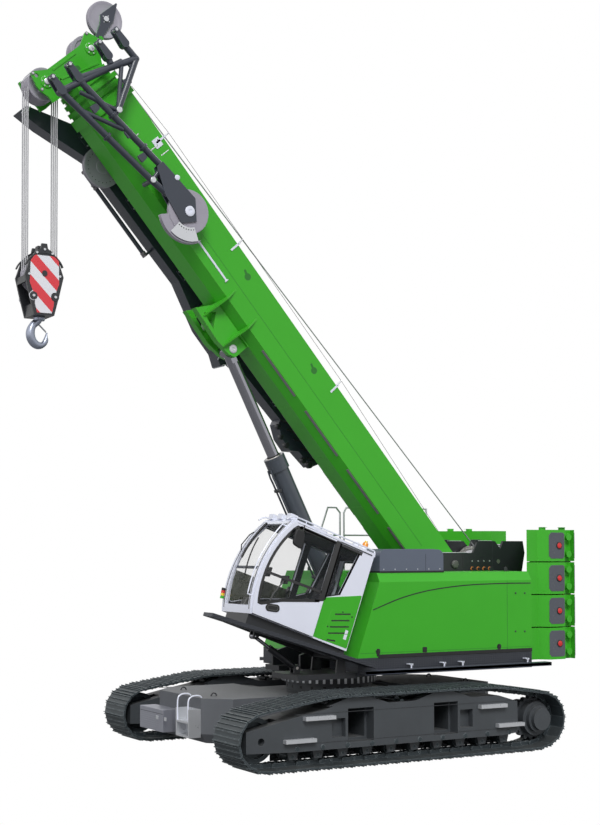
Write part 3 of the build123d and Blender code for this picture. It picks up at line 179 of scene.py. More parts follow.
# Closed outlines in (u, w), each carried from one side plane to the other
def extruded(outlines, y0, y1):
    outlines = np.asarray(outlines, float)
    n, m = outlines.shape[:2]
    points = np.zeros((n, 2, m, 3))
    points[..., 0], points[..., 2] = outlines[:, None, :, 0], outlines[:, None, :, 1]
    points[:, 0, :, 1], points[:, 1, :, 1] = y0, y1
    i = np.arange(m)
    j = (i + 1) % m
    sides = np.stack((i, j, j + m, i + m), 1)
    faces = (sides[None] + 2 * m * np.arange(n)[:, None, None]).reshape(-1, 4).tolist()
    faces += [(2 * m * k + i[::-1]).tolist() for k in range(n)]
    return points.reshape(-1, 3), faces + [(2 * m * k + m + i).tolist() for k in range(n)]


# One outline in (u, w) carried from one side plane to the other
def prism(outline, y0, y1):
    return extruded([outline], y0, y1)


# Strip of one width that follows a path in (u, w), between two side planes
def ribbon(path, width, y0, y1):
    path = np.asarray(path, float)
    along = np.gradient(path, axis=0)
    along /= np.linalg.norm(along, axis=1, keepdims=True)
    square = np.stack((-along[:, 1], along[:, 0]), 1) * width / 2
    rows = [np.stack((edge[:, 0], np.full(len(path), y), edge[:, 1]), 1)
            for edge, y in ((path + square, y0), (path - square, y0), (path - square, y1),
                            (path + square, y1))]
    return np.stack(rows, 1).reshape(-1, 3), gridFaces(len(path), 4)


# Points of a path in (u, w), set in one side plane or in one plane for each point
def sideCurve(path, y):
    path = np.asarray(path, float)
    return np.stack((path[:, 0], np.zeros(len(path)) + y, path[:, 1]), 1)


# Outline with each corner replaced by an arc-like curve between two points on its sides
def rounded(outline, radius, steps=5):
    outline = np.asarray(outline, float)
    before, after = np.roll(outline, 1, 0), np.roll(outline, -1, 0)
    toBefore, toAfter = before - outline, after - outline
    lengthBefore = np.linalg.norm(toBefore, axis=1, keepdims=True)
    lengthAfter = np.linalg.norm(toAfter, axis=1, keepdims=True)
    reach = np.minimum(radius, 0.45 * np.minimum(lengthBefore, lengthAfter))
    start, end = outline + toBefore / lengthBefore * reach, outline + toAfter / lengthAfter * reach
    t = np.linspace(0, 1, steps)[None, :, None]
    curve = (1 - t) ** 2 * start[:, None] + 2 * t * (1 - t) * outline[:, None] + t ** 2 * end[:, None]
    return curve.reshape(-1, 2)


# Points on an arc in (u, w)
def arc(centre, radius, degrees0, degrees1, steps=16):
    angle = np.radians(np.linspace(degrees0, degrees1, steps))
    return np.stack((centre[0] + radius * np.cos(angle), centre[1] + radius * np.sin(angle)), 1)


# Each body's own frame, and the slot that each finish takes unless a piece says otherwise.
places = {"cab": cab, "door": cab, "boom": boom, "jib_wheel": boom, "luff_barrel": ram}
slotNames = (("aluminium", "amberLens yellowLens"), ("green_paint", "boomGreen boomShade greenPaint"),
             ("chassis_grey", "chassisGrey"), ("grey_paint", "cylinderGrey hoodGrey jibGrey"),
             ("sheave_grey", "sheaveCast"), ("glass", "tintedPane"), ("track_steel", "trackIron"),
             ("white_paint", "whitePaint"), ("bare_steel", "bareSteel hookSteel orangeRing ropeWire"),
             ("bare_steel", "zincDull zincSteel"))
slots = {name: slot for slot, names in slotNames for name in names.split()}
sharpAngle, bevelAngle = math.radians(35), math.radians(40)


# One finished piece: its mesh in its body's frame, its finish, and the body that it moves with
def piece(name, parts, material, body, slot=None, place=None, bevel=0.0, smooth=True, covers=()):
    points, faces = merged(parts) if isinstance(parts, list) else parts
    place, slot = place or places.get(body, machine), slot or slots.get(material.name, "black_paint")
    mesh = bpy.data.meshes.new(name)
    mesh.from_pydata(toWorld(points, place).tolist(), [], faces)
    mesh.validate()
    mesh.update()
    made = bpy.data.objects.new(name, mesh)
    bpy.context.scene.collection.objects.link(made)
    mesh.materials.append(material)
    if bevel:
        edge = made.modifiers.new("edge", "BEVEL")
        edge.width = bevel
        edge.segments = 2
        edge.limit_method = "ANGLE"
        edge.angle_limit = bevelAngle
        edge.harden_normals = False
    if smooth:
        mesh.polygons.foreach_set("use_smooth", np.ones(len(mesh.polygons), bool))
        mesh.set_sharp_from_angle(angle=sharpAngle)
    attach(made, body)
    if covers:
        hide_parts(*covers)
    return made


# Finishes.
# Give a socket a fixed value, or link another node's output to it
def feed(tree, value, socket):
    if isinstance(value, (int, float, tuple)):
        socket.default_value = value
    else:
        tree.links.new(value, socket)


# Shader node with its settings, and a value or another node's output for each input named
def addNode(tree, kind, inputs, **settings):
    node = tree.nodes.new("ShaderNode" + kind)
    for key, value in settings.items():
        setattr(node, key, value)
    for socket, value in inputs.items():
        feed(tree, value, node.inputs[socket])
    return node


# Texture coordinates that stay with each object
def objectSpace(tree):
    return tree.nodes.new("ShaderNodeTexCoord").outputs["Object"]


def noiseNode(tree, scale, detail, vector, rough=0.5):
    inputs = {"Scale": scale, "Detail": detail, "Roughness": rough, "Vector": vector}
    return addNode(tree, "TexNoise", inputs).outputs["Fac"]


# Value stretched so that low becomes 0 and high becomes 1
def rampNode(tree, value, low, high):
    return addNode(tree, "MapRange", {"Value": value, "From Min": low, "From Max": high}).outputs["Result"]


def mathNode(tree, kind, a, b):
    return addNode(tree, "Math", {0: a, 1: b}, operation=kind).outputs[0]


def mixNode(tree, factor, a, b):
    return addNode(tree, "Mix", {0: factor, 6: a, 7: b}, data_type="RGBA").outputs[2]


# Surface effect shared by all finishes: tone patches, dust on top, edges lightened partly for wear and partly
# as painted highlight, and fine grain
def makeFinishGroup():
    group = bpy.data.node_groups.new("surfaceAge", "ShaderNodeTree")
    inputs = {"Color": (0.5, 0.5, 0.5, 1), "Worn Color": (0.4, 0.4, 0.4, 1),
              "Dust Color": (0.32, 0.30, 0.27, 1), "Tone": 0.12, "Dust": 0.1, "Wear": 0.3,
              "Grain Scale": 60.0, "Base Roughness": 0.4}
    for title, value in inputs.items():
        kind = "NodeSocketColor" if "Color" in title else "NodeSocketFloat"
        group.interface.new_socket(name=title, in_out="INPUT", socket_type=kind).default_value = value
    for title, kind in (("Color", "Color"), ("Roughness", "Float"), ("Height", "Float")):
        group.interface.new_socket(name=title, in_out="OUTPUT", socket_type="NodeSocket" + kind)
    given, result = group.nodes.new("NodeGroupInput").outputs, group.nodes.new("NodeGroupOutput").inputs

    def times(a, b):
        return mathNode(group, "MULTIPLY", a, b)

    def plus(a, b):
        return mathNode(group, "ADD", a, b)

    where = objectSpace(group)
    patches = noiseNode(group, 1.7, 4, where, 0.6)
    scratch = noiseNode(group, 14.0, 6, where, 0.7)
    light = plus(1.0, times(plus(patches, -0.5), times(given["Tone"], 2.0)))
    shaded = addNode(group, "VectorMath", {0: given["Color"], "Scale": light}, operation="SCALE").outputs[0]
    softened = addNode(group, "Bevel", {"Radius": 0.012}, samples=4).outputs[0]
    geometry = group.nodes.new("ShaderNodeNewGeometry").outputs
    facing = addNode(group, "VectorMath", {0: softened, 1: geometry["True Normal"]}, operation="DOT_PRODUCT")
    # Edge mask from the bevelled normal: the edges take a lighter colour, partly wear and partly painted
    # highlight
    edge = rampNode(group, facing.outputs["Value"], 0.995, 0.9)
    wornAndHighlit = times(times(edge, rampNode(group, scratch, 0.35, 0.6)), given["Wear"])
    upward = addNode(group, "SeparateXYZ", {0: geometry["Normal"]}).outputs["Z"]
    dusty = times(rampNode(group, upward, 0.3, 1.0), times(rampNode(group, patches, 0.3, 0.7), given["Dust"]))
    aged = mixNode(group, dusty, mixNode(group, wornAndHighlit, shaded, given["Worn Color"]), given["Dust Color"])
    rough = plus(given["Base Roughness"], plus(times(plus(scratch, -0.5), 0.18), times(dusty, 0.3)))
    fine = noiseNode(group, given["Grain Scale"], 3, where)
    for title, value in (("Color", aged), ("Roughness", rough), ("Height", fine)):
        feed(group, value, result[title])
    return group


surfaceAge = makeFinishGroup()


# Screen colour 0 to 255 as a linear shader colour
def srgb(red, green, blue):
    value = np.array((red, green, blue)) / 255.0
    linear = np.where(value <= 0.04045, value / 12.92, ((value + 0.055) / 1.055) ** 2.4)
    return (*[float(v) for v in linear], 1.0)


# Material with nodes: itself, its tree and its shader's inputs
def newMaterial(name):
    material = bpy.data.materials.new(name)
    material.use_nodes = True
    return material, material.node_tree, material.node_tree.nodes["Principled BSDF"].inputs


# Relief on the shader's normal; it takes the place of an earlier one
def setBump(tree, height, strength, distance):
    bump = addNode(tree, "Bump", {"Strength": strength, "Distance": distance, "Height": height})
    feed(tree, bump.outputs["Normal"], tree.nodes["Principled BSDF"].inputs["Normal"])


# Aged paint, metal, rubber or cloth, all with the shared surface effect at their own strengths
def finish(name, color, roughness=0.4, metallic=0.0, coat=0.0, tone=0.12, dust=0.08, wear=0.3, wornAndHighlit=None,
           grain=60.0, bump=0.1, depth=0.001, dustColor=None, shine=0.5):
    material, tree, shader = newMaterial(name)
    # By default the edge colour is a lighter copy of the colour: painted highlight on the edges, mixed with
    # wear
    inputs = {"Color": color, "Worn Color": wornAndHighlit or (*[min(1.0, c * 1.6 + 0.05) for c in color[:3]], 1.0),
              "Tone": tone, "Dust": dust, "Wear": wear, "Grain Scale": grain, "Base Roughness": roughness}
    if dustColor:
        inputs["Dust Color"] = dustColor
    age = addNode(tree, "Group", inputs, node_tree=surfaceAge).outputs
    looks = {"Base Color": age["Color"], "Roughness": age["Roughness"], "Metallic": metallic,
             "Specular IOR Level": shine, "Coat Weight": coat, "Coat Roughness": 0.08}
    for title, value in looks.items():
        feed(tree, value, shader[title])
    setBump(tree, age["Height"], bump, depth)
    return material


# Thin tinted glass with faint smears
def clearGlass(name, color, alpha):
    material, tree, shader = newMaterial(name)
    smear = rampNode(tree, noiseNode(tree, 3.0, 4, objectSpace(tree)), -2.0, 8.0)
    for title, value in (("Base Color", color), ("Roughness", smear), ("Alpha", alpha), ("Coat Weight", 0.6)):
        feed(tree, value, shader[title])
    return material


# Chequer plate: short raised bars in two crossing directions, from two stretched grids of cells
def plateTread(name, color, metallic):
    material = finish(name, color, 0.42, metallic, dust=0.15, wear=0.5)
    tree = material.node_tree
    heights = []
    for turn in (45, -45):
        stretch = {"Vector": objectSpace(tree), "Rotation": (0.0, 0.0, math.radians(turn)),
                   "Scale": (28.0, 60.0, 28.0)}
        grid = addNode(tree, "Mapping", stretch).outputs["Vector"]
        cells = addNode(tree, "TexVoronoi", {"Scale": 1.0, "Randomness": 0.0, "Vector": grid})
        heights.append(rampNode(tree, cells.outputs["Distance"], 0.45, 0.25))
    setBump(tree, mathNode(tree, "MAXIMUM", *heights), 0.6, 0.004)
    return material


# The paints' lighter edge colours are painted highlight on their edges, mixed with wear
greenPaint = finish("greenPaint", srgb(64, 178, 40), 0.36, 0.0, 0.12, tone=0.05, dust=0.02, wear=0.12,
                    wornAndHighlit=srgb(150, 205, 90), bump=0.04, shine=0.3)
boomGreen = finish("boomGreen", srgb(66, 178, 42), 0.36, 0.0, 0.12, tone=0.05, dust=0.02, wear=0.25,
                   wornAndHighlit=srgb(150, 205, 90), bump=0.05, shine=0.3)
whitePaint = finish("whitePaint", srgb(238, 241, 255), 0.3, 0.0, 0.4, tone=0.04, dust=0.05, wear=0.1,
                    bump=0.03)
blackPaint = finish("blackPaint", srgb(34, 36, 40), 0.45, 0.0, 0.1, tone=0.2, dust=0.12, wear=0.35,
                    wornAndHighlit=srgb(92, 96, 102), bump=0.1)
chassisGrey = finish("chassisGrey", srgb(64, 68, 72), 0.5, 0.0, 0.05, tone=0.2, dust=0.2, wear=0.4,
                     wornAndHighlit=srgb(120, 124, 128), bump=0.12)
trackIron = finish("trackIron", srgb(58, 66, 70), 0.48, 0.35, 0.0, tone=0.3, dust=0.2, wear=0.9,
                   wornAndHighlit=srgb(150, 160, 164), grain=90.0, bump=0.3, depth=0.002)
castBallast = finish("castBallast", srgb(90, 93, 98), 0.6, 0.0, 0.0, tone=0.2, dust=0.35, wear=0.35,
                     wornAndHighlit=srgb(140, 140, 138), grain=120.0, bump=0.35, depth=0.003,
                     dustColor=srgb(120, 116, 112))
jibGrey = finish("jibGrey", srgb(48, 54, 66), 0.38, 0.0, 0.25, tone=0.15, dust=0.08, wear=0.4,
                 wornAndHighlit=srgb(120, 128, 142), bump=0.06)
hoodGrey = finish("hoodGrey", srgb(92, 100, 116), 0.4, 0.0, 0.15, tone=0.06, dust=0.1, wear=0.2, bump=0.08)
cylinderGrey = finish("cylinderGrey", srgb(66, 72, 80), 0.36, 0.0, 0.3, tone=0.1, dust=0.05, wear=0.3,
                      bump=0.05)
chromeRod = finish("chromeRod", srgb(150, 150, 158), 0.12, 0.9, 0.0, tone=0.08, dust=0.0, wear=0.0, bump=0.02)
bareSteel = finish("bareSteel", srgb(176, 172, 168), 0.3, 0.85, 0.0, tone=0.1, dust=0.05, wear=0.2, bump=0.05)
zincSteel = finish("zincSteel", srgb(206, 208, 212), 0.3, 0.55, 0.0, tone=0.08, dust=0.03, wear=0.1,
                   bump=0.05)
sheaveCast = finish("sheaveCast", srgb(166, 162, 174), 0.4, 0.0, 0.1, tone=0.12, dust=0.08, wear=0.3,
                    wornAndHighlit=srgb(214, 212, 218), bump=0.08)
hookSteel = finish("hookSteel", srgb(150, 156, 172), 0.34, 0.7, 0.0, tone=0.25, dust=0.0, wear=0.4, bump=0.2)
rubberBlack = finish("rubberBlack", srgb(22, 23, 25), 0.6, tone=0.15, dust=0.05, wear=0.1, bump=0.2)
glossBlack = finish("glossBlack", srgb(16, 17, 19), 0.22, 0.0, 0.5, tone=0.1, dust=0.02, wear=0.05, bump=0.02)
redPaint = finish("redPaint", srgb(214, 36, 34), 0.35, 0.0, 0.4, tone=0.06, dust=0.0, wear=0.1)
amberLens = finish("amberLens", srgb(250, 150, 16), 0.2, 0.0, 0.6, tone=0.05, dust=0.0, wear=0.0)
yellowLens = finish("yellowLens", srgb(250, 208, 40), 0.2, 0.0, 0.6, tone=0.05, dust=0.0, wear=0.0)
orangeRing = finish("orangeRing", srgb(206, 130, 66), 0.4, tone=0.1)
weightPanel = finish("weightPanel", srgb(84, 87, 95), 0.6, 0.0, 0.0, tone=0.1, dust=0.15, wear=0.3,
                     grain=160.0, bump=0.3, depth=0.002)
plasticGrey = finish("plasticGrey", srgb(86, 86, 84), 0.5, tone=0.12, dust=0.05, wear=0.1, bump=0.15)
seatCloth = finish("seatCloth", srgb(38, 38, 42), 0.85, tone=0.2, dust=0.1, wear=0.0, grain=420.0, bump=0.5)
chequerPlate = plateTread("chequerPlate", srgb(150, 152, 162), 0.6)
walkPlate = plateTread("walkPlate", srgb(52, 55, 62), 0.2)
cabGlass = clearGlass("cabGlass", srgb(70, 78, 84), 0.07)
ropeWire = finish("ropeWire", srgb(168, 168, 172), 0.4, 0.6, 0.0, tone=0.15, dust=0.0, wear=0.0, grain=300.0,
                  bump=0.4)
ringSteel = finish("ringSteel", srgb(160, 156, 152), 0.25, 0.9, 0.0, tone=0.12, dust=0.0, wear=0.0)
boomShade = finish("boomShade", srgb(38, 116, 34), 0.5, tone=0.08, dust=0.1, wear=0.1)
zincDull = finish("zincDull", srgb(128, 124, 128), 0.42, 0.4, tone=0.12, dust=0.05, wear=0.3)
walkEdge = finish("walkEdge", srgb(74, 80, 94), 0.45, 0.2, tone=0.2, dust=0.1, wear=0.5, grain=120.0,
                  bump=0.2)
tintedPane = clearGlass("tintedPane", srgb(66, 70, 52), 0.88)
cabDark = finish("cabDark", srgb(30, 31, 32), 0.75, tone=0.15, dust=0.04, wear=0.0, grain=300.0, bump=0.2)

nodeFinish = (
    (trackIron, "track_left track_right track_rollers"),
    (chassisGrey, "track_frame_left track_frame_right drive_sprockets car_body"),
    (chassisGrey, "slewing_ring_gear engine_block"),
    (castBallast, "car_body_ballast"),
    (chequerPlate, "tool_box"),
    (zincSteel, "boarding_steps deck_rails luff_pin head_axles"),
    (ringSteel, "slewing_ring_bearing"),
    (blackPaint, "deck_frame winch_frame counterweight_carrier cab_console hook_block"),
    (blackPaint, "cab_base_frame tilt_cylinder_barrel"),
    (bareSteel, "deck_pins winch_drum_1 winch_drum_2"),
    (walkPlate, "side_beams cab_platform"),
    (greenPaint, "housings counterweights boom_head"),
    (hoodGrey, "air_hood"),
    (boomGreen, "boom_base boom_section_2 boom_section_3 boom_section_4"),
    (jibGrey, "jib_frame jib_box_section jib_brackets"),
    (sheaveCast, "jib_sheave jib_sheave_far head_sheaves return_sheaves tip_sheave block_sheaves"),
    (chromeRod, "luff_cylinder_rod tilt_cylinder_rod"),
    (cylinderGrey, "luff_cylinder_barrel"),
    (ropeWire, "rope_falls"),
    (hookSteel, "hook"),
    (whitePaint, "cab_shell cab_lamps cab_door"),
    (cabGlass, "cab_glass door_glass"),
    (seatCloth, "cab_seat"),
)
for material, names in nodeFinish:
    for node in names.split():
        dress = frame["nodes"][node].data.materials
        dress.clear()
        dress.append(material)
print("finishes given to", len(frame["nodes"]), "nodes")

# Camera, light and floor.
view = {"spot": (13.622, 20.904, 3.508), "turn": 0.496, "rise": 0.0336, "lens": 60.57,
        "shift": (0.1031, 0.106)}


# Camera from its spot, its turn to the side, its rise, its lens and its shift
def placeCamera(view):
    turn, rise = view["turn"], view["rise"]
    forward = np.array((-math.sin(turn) * math.cos(rise), -math.cos(turn) * math.cos(rise), math.sin(rise)))
    right = np.array((-math.cos(turn), math.sin(turn), 0.0))
    up = np.cross(right, forward)
    data = bpy.data.cameras.new("camera")
    data.lens = view["lens"]
    data.shift_x, data.shift_y = view["shift"]
    data.clip_end = 200.0
    camera = bpy.data.objects.new("camera", data)
    turned = np.stack((right, up, -forward), 1)
    rows = [(*row, spot) for row, spot in zip(turned, view["spot"])]
    camera.matrix_world = Matrix(rows + [(0, 0, 0, 1)])
    bpy.context.scene.collection.objects.link(camera)
    bpy.context.scene.camera = camera


# Distant lamp at a spot, turned towards its target, its spread in degrees
def addLamp(name, spot, target, power, spread):
    data = bpy.data.lights.new(name, "SUN")
    data.energy, data.angle = power, math.radians(spread)
    lamp = bpy.data.objects.new(name, data)
    lamp.location = spot
    lamp.rotation_euler = (Vector(target) - Vector(spot)).to_track_quat("-Z", "Y").to_euler()
    bpy.context.scene.collection.objects.link(lamp)


# White backdrop for the camera and for what glass and gloss show, with a softer light on the rest
def lightWorld():
    world = bpy.data.worlds.new("studio")
    bpy.context.scene.world = world
    world.use_nodes = True
    tree = world.node_tree
    seen = tree.nodes["Background"]
    feed(tree, (1, 1, 1, 1), seen.inputs["Color"])
    lit = addNode(tree, "Background", {"Color": (0.93, 0.96, 1.0, 1), "Strength": 0.26})
    path = tree.nodes.new("ShaderNodeLightPath").outputs
    either = mathNode(tree, "MAXIMUM", path["Is Camera Ray"], path["Is Transmission Ray"])
    either = mathNode(tree, "MAXIMUM", either, path["Is Glossy Ray"])
    mix = addNode(tree, "MixShader", {0: either, 1: lit.outputs[0], 2: seen.outputs[0]})
    feed(tree, mix.outputs[0], tree.nodes["World Output"].inputs["Surface"])


# Matt floor that the camera sees as plain white
def layFloor():
    material, tree, shader = newMaterial("floorWhite")
    feed(tree, (0.35, 0.35, 0.35, 1), shader["Base Color"])
    feed(tree, 1.0, shader["Roughness"])
    glow = addNode(tree, "Emission", {"Color": (1, 1, 1, 1)})
    path = tree.nodes.new("ShaderNodeLightPath").outputs
    matt = tree.nodes["Principled BSDF"].outputs[0]
    mix = addNode(tree, "MixShader", {0: path["Is Camera Ray"], 1: matt, 2: glow.outputs[0]})
    feed(tree, mix.outputs[0], tree.nodes["Material Output"].inputs["Surface"])
    reach = 80.0
    mesh = bpy.data.meshes.new("floor")
    mesh.from_pydata([(x * reach, y * reach, 0) for x, y in ((-1, -1), (1, -1), (1, 1), (-1, 1))], [],
                     [(0, 1, 2, 3)])
    mesh.materials.append(material)
    floor = bpy.data.objects.new("floor", mesh)
    bpy.context.scene.collection.objects.link(floor)


placeCamera(view)
for name, spot, power, spread in (("keyLight", (6, 14, 16), 2.2, 25), ("frontFill", (20, 4, 10), 0.35, 50),
                                  ("rearRim", (-12, -6, 14), 0.5, 40)):
    addLamp(name, spot, (0, 0, 3), power, spread)
lightWorld()
layFloor()
print("camera, light and floor placed")

# Tracks: shoes with three ribs each, carried round the belt's own outline, and the chain inside.
belt = {"shoes": 66, "ribHeight": 0.028, "plate": 0.03, "ribWidth": 0.016, "gap": 0.012, "clear": 0.004,
        "linkDepth": 0.075, "linkRows": (0.06, 0.09), "linkHalf": 0.015, "pinHalf": 0.112, "pinRadius": 0.02}


# Belt's outline from the CAD node's convex side view, drawn in by an inset and spaced evenly
def beltLine(node, inset, samples):
    spots = cadPoints(node)[:, (0, 2)]
    hull = spots[convex_hull_2d([Vector(s) for s in spots])]
    nextSpot = np.roll(hull, -1, 0)
    length = np.linalg.norm(nextSpot - hull, axis=1)
    keep = length > 1e-5
    hull, length = hull[keep], length[keep]
    hull = np.concatenate((hull, hull[:1]))
    total = np.concatenate(([0.0], np.cumsum(np.linalg.norm(np.diff(hull, axis=0), axis=1))))
    t = np.linspace(0, total[-1], samples, endpoint=False)
    reach = total[-1] / samples / 2
    front, back = [np.stack([np.interp((t + shift) % total[-1], total, hull[:, k]) for k in (0, 1)], 1)
                   for shift in (reach, -reach)]
    line, ahead = (front + back) / 2, front - back
    along = ahead / np.linalg.norm(ahead, axis=1, keepdims=True)
    outward = np.stack((along[:, 1], -along[:, 0]), 1)
    if ((line - line.mean(0)) * outward).sum() < 0:
        outward = -outward
    return line - outward * inset, along, outward, total[-1]


# One extruded shoe for each link, with a tall rib at its front and two lower ones
def beltShoes(node, body):
    low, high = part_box(node)
    line, along, outward, total = beltLine(node, belt["ribHeight"] + belt["clear"], belt["shoes"])
    half = total / belt["shoes"] / 2 - belt["gap"] / 2
    rib, top = belt["ribWidth"] / 2, belt["ribHeight"]
    stations = (-half + rib, -half * 0.1, half * 0.72)
    profile = [(-half, -belt["plate"]), (-half, 0.0)]
    for s, rise in zip(stations, (top, top * 0.8, top * 0.8)):
        profile += [(s - rib, 0.0), (s - rib * 0.6, rise), (s + rib * 0.6, rise), (s + rib, 0.0)]
    profile += [(half, 0.0), (half, -belt["plate"])]
    profile = np.array(profile)
    flat = line[:, None] + profile[None, :, 0:1] * along[:, None] + profile[None, :, 1:2] * outward[:, None]
    piece("beltShoes" + node[5:], extruded(flat, low.y, high.y), trackIron, body, smooth=False,
          covers=(node,))


# Chain inside the belt: two rows of links with a pin and bush at each joint
def beltLinks(node, body):
    low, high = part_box(node)
    middle = (low.y + high.y) / 2
    inset = belt["ribHeight"] + belt["clear"] + belt["plate"]
    line, along, outward, total = beltLine(node, inset, belt["shoes"])
    pitch = total / belt["shoes"]
    link = np.array([(-0.56, 0.0), (-0.56, -0.55), (-0.35, -1.0), (-0.1, -0.85), (0.1, -0.85), (0.35, -1.0),
                     (0.56, -0.55), (0.56, 0.0)]) * (pitch, belt["linkDepth"])
    parts = []
    flat = line[:, None] + link[None, :, 0:1] * along[:, None] + link[None, :, 1:2] * outward[:, None]
    for side in (1, -1):
        for row, y in enumerate(belt["linkRows"]):
            y = middle + side * y
            parts.append(extruded(flat[row::2], y - belt["linkHalf"], y + belt["linkHalf"]))
    pin = line + (along * pitch / 2) - outward * belt["linkDepth"] * 0.6
    ends = [sideCurve(pin, middle + side * belt["pinHalf"]) for side in (-1, 1)]
    parts.append(rods(*ends, belt["pinRadius"], 8))
    piece("beltLinks" + node[5:], parts, trackIron, body, smooth=False)


for node in ("track_left", "track_right"):
    beltShoes(node, "undercarriage")
    beltLinks(node, "undercarriage")
print("tracks laid")

# Small parts that several stages use.
# Hexagon heads that stand on a surface, one at each spot
def hexBolts(spots, axis=(0, 1, 0), radius=0.018, height=0.014):
    return discs(spots, radius, height, axis, 6)


# Flat round pads, one at each spot
def discs(spots, radius, height, axis=(0, 1, 0), sides=24):
    spots = np.atleast_2d(spots).astype(float)
    return rods(spots, spots + np.asarray(axis, float) * height, radius, sides)


# Evenly spaced spots on a circle in the side plane y
def circleSpots(centre, radius, count, y, phase=0.0):
    angle = np.linspace(0, 2 * np.pi, count, endpoint=False) + phase
    return sideCurve(np.stack((centre[0] + radius * np.cos(angle), centre[1] + radius * np.sin(angle)), 1), y)


# The same part on the other side of the machine
def mirrored(part):
    return part[0] * (1, -1, 1), [tuple(face)[::-1] for face in part[1]]


# Each part and its mirror image
def both(parts):
    return [half for part in (parts if isinstance(parts, list) else [parts])
            for half in (part, mirrored(part))]


# Side planes of a part that stands on a face and is sunk a little into it
def onFace(face, height, sink=0.001):
    return face - sink, face + height


# Rectangular plate on a face
def panel(u0, u1, w0, w1, face, height, sink=0.001):
    return blocks((u0, face - sink, w0), (u1, face + height, w1))


# Closed section in (y, w) carried along u
def beam(section, u0, u1):
    section = np.asarray(section, float)
    n = len(section)
    points = np.concatenate([np.stack((np.full(n, u), section[:, 0], section[:, 1]), 1) for u in (u0, u1)])
    return points, gridFaces(2, n)


# Flat bar about a centre, its length along one direction and its height along the normal
def strip(centre, along, length, width, height, normal):
    along = np.asarray(along, float) / np.linalg.norm(along)
    normal = np.asarray(normal, float) / np.linalg.norm(normal)
    across = np.cross(normal, along)
    points, faces = blocks((-length / 2, -width / 2, 0), (length / 2, width / 2, height))
    return np.asarray(centre) + points @ np.stack((along, across, normal)), faces


# Boom: seams, wear strips, rope guides and the pins of its bracket.
boomSide = 0.42
boomSeam = {"w": -0.205, "u": (1.07, 8.0), "width": 0.007}
wearStrips = {"spans": ((4.80, 5.80), (3.456, 4.476), (2.12, 3.149), (0.80, 1.80)), "y": 0.388, "w": -0.535,
              "width": 0.045, "height": 0.008}
keyholes = {"spots": ((6.937, 0.044), (4.907, 0.053)), "radius": 0.062, "tail": 0.13}
bellyWelds = {"half": 0.21, "top": -0.6275, "bottom": -0.6305, "width": 0.02,
              "spots": np.arange(1.2, 10.4, 1.15)}
ropeGuides = {"spots": (4.41, 7.47, 9.64), "w": (0.074, 0.30), "width": 0.036, "post": 0.11, "radius": 0.012}
luffRope = {"line": ((-0.14, 1.07), (0.02, 0.958), (11.43, 0.445)), "radius": 0.011}


# Seams, wear strips, keyhole recesses in dark green as painted shade, and the welds under the boom
def boomTrim():
    seam = blocks((boomSeam["u"][0], boomSide - 0.001, boomSeam["w"] - boomSeam["width"] / 2),
                  (boomSeam["u"][1], boomSide + 0.0015, boomSeam["w"] + boomSeam["width"] / 2))
    piece("boomSeam", both(seam), boomShade, "boom", smooth=False)
    outward = np.array((0.0, 0.11, -0.2))
    bars = []
    for u0, u1 in wearStrips["spans"]:
        bars += both(strip(((u0 + u1) / 2, wearStrips["y"], wearStrips["w"]), (1, 0, 0), u1 - u0,
                           wearStrips["width"], wearStrips["height"], outward))
    piece("wearStrips", bars, zincDull, "boom", bevel=0.002)
    holes = []
    # Keyhole recesses on both sides, drawn in dark green: painted shade in them
    for u, w in keyholes["spots"]:
        ring = arc((u, w), keyholes["radius"], 35, 325)
        end = u + keyholes["tail"]
        outline = np.concatenate((ring, [(u + 0.06, w - 0.01), (end, w + 0.01), (end, w + 0.05),
                                         (u + 0.05, w + 0.035)]))
        holes += both(prism(outline, *onFace(boomSide, 0.002)))
    piece("inspectionCovers", holes, boomShade, "boom", smooth=False)
    half, top, bottom = bellyWelds["half"], bellyWelds["top"], bellyWelds["bottom"]
    welds = [beam([(-half, top), (-half, bottom), (half, bottom), (half, top)], u, u + bellyWelds["width"])
             for u in bellyWelds["spots"]]
    piece("boomBellyWelds", welds, boomGreen, "boom")


# Posts and rollers of the rope guides, the reach gauge and the small plate near the head
def ropeGuidePosts():
    w0, w1 = ropeGuides["w"]
    arms, posts, half, postY = [], [], ropeGuides["width"] / 2, boomSide - 0.04
    for u in ropeGuides["spots"]:
        arms += both(panel(u - half, u + half, w0, w1, boomSide, 0.012, 0))
        arms.append(blocks((u - half, -boomSide - 0.012, 0.252), (u + half, boomSide + 0.012, 0.264)))
        posts.append(rods((u, postY, 0.255), (u, postY, w1 + ropeGuides["post"]), ropeGuides["radius"]))
        posts.append(rods((u, -0.16, 0.33), (u, 0.16, 0.33), 0.035, 20))
        posts.append(blocks([(u - 0.03, -0.18, 0.26), (u - 0.03, 0.165, 0.26)],
                            [(u + 0.03, -0.165, 0.36), (u + 0.03, 0.18, 0.36)]))
    piece("ropeGuideArms", arms, whitePaint, "boom", bevel=0.002)
    piece("ropeGuideRollers", posts, zincSteel, "boom", bevel=0.002)
    bar = panel(7.131, 7.944, -0.362, -0.325, boomSide, 0.014, 0)
    ends = blocks([(7.12, boomSide, -0.38), (7.93, boomSide, -0.38)],
                  [(7.14, boomSide + 0.02, -0.31), (7.95, boomSide + 0.02, -0.31)])
    piece("reachGauge", [bar, ends], whitePaint, "boom", bevel=0.002)
    plate = panel(9.55, 9.71, 0.02, 0.17, boomSide, 0.012, 0)
    piece("pinPlate", plate, whitePaint, "boom", bevel=0.003)
    # Dark dots on the plate where its holes are: painted shade
    dots = discs([(9.60, boomSide + 0.012, 0.06), (9.66, boomSide + 0.012, 0.13)], 0.014, 0.003)
    piece("pinPlateHoles", dots, rubberBlack, "boom")


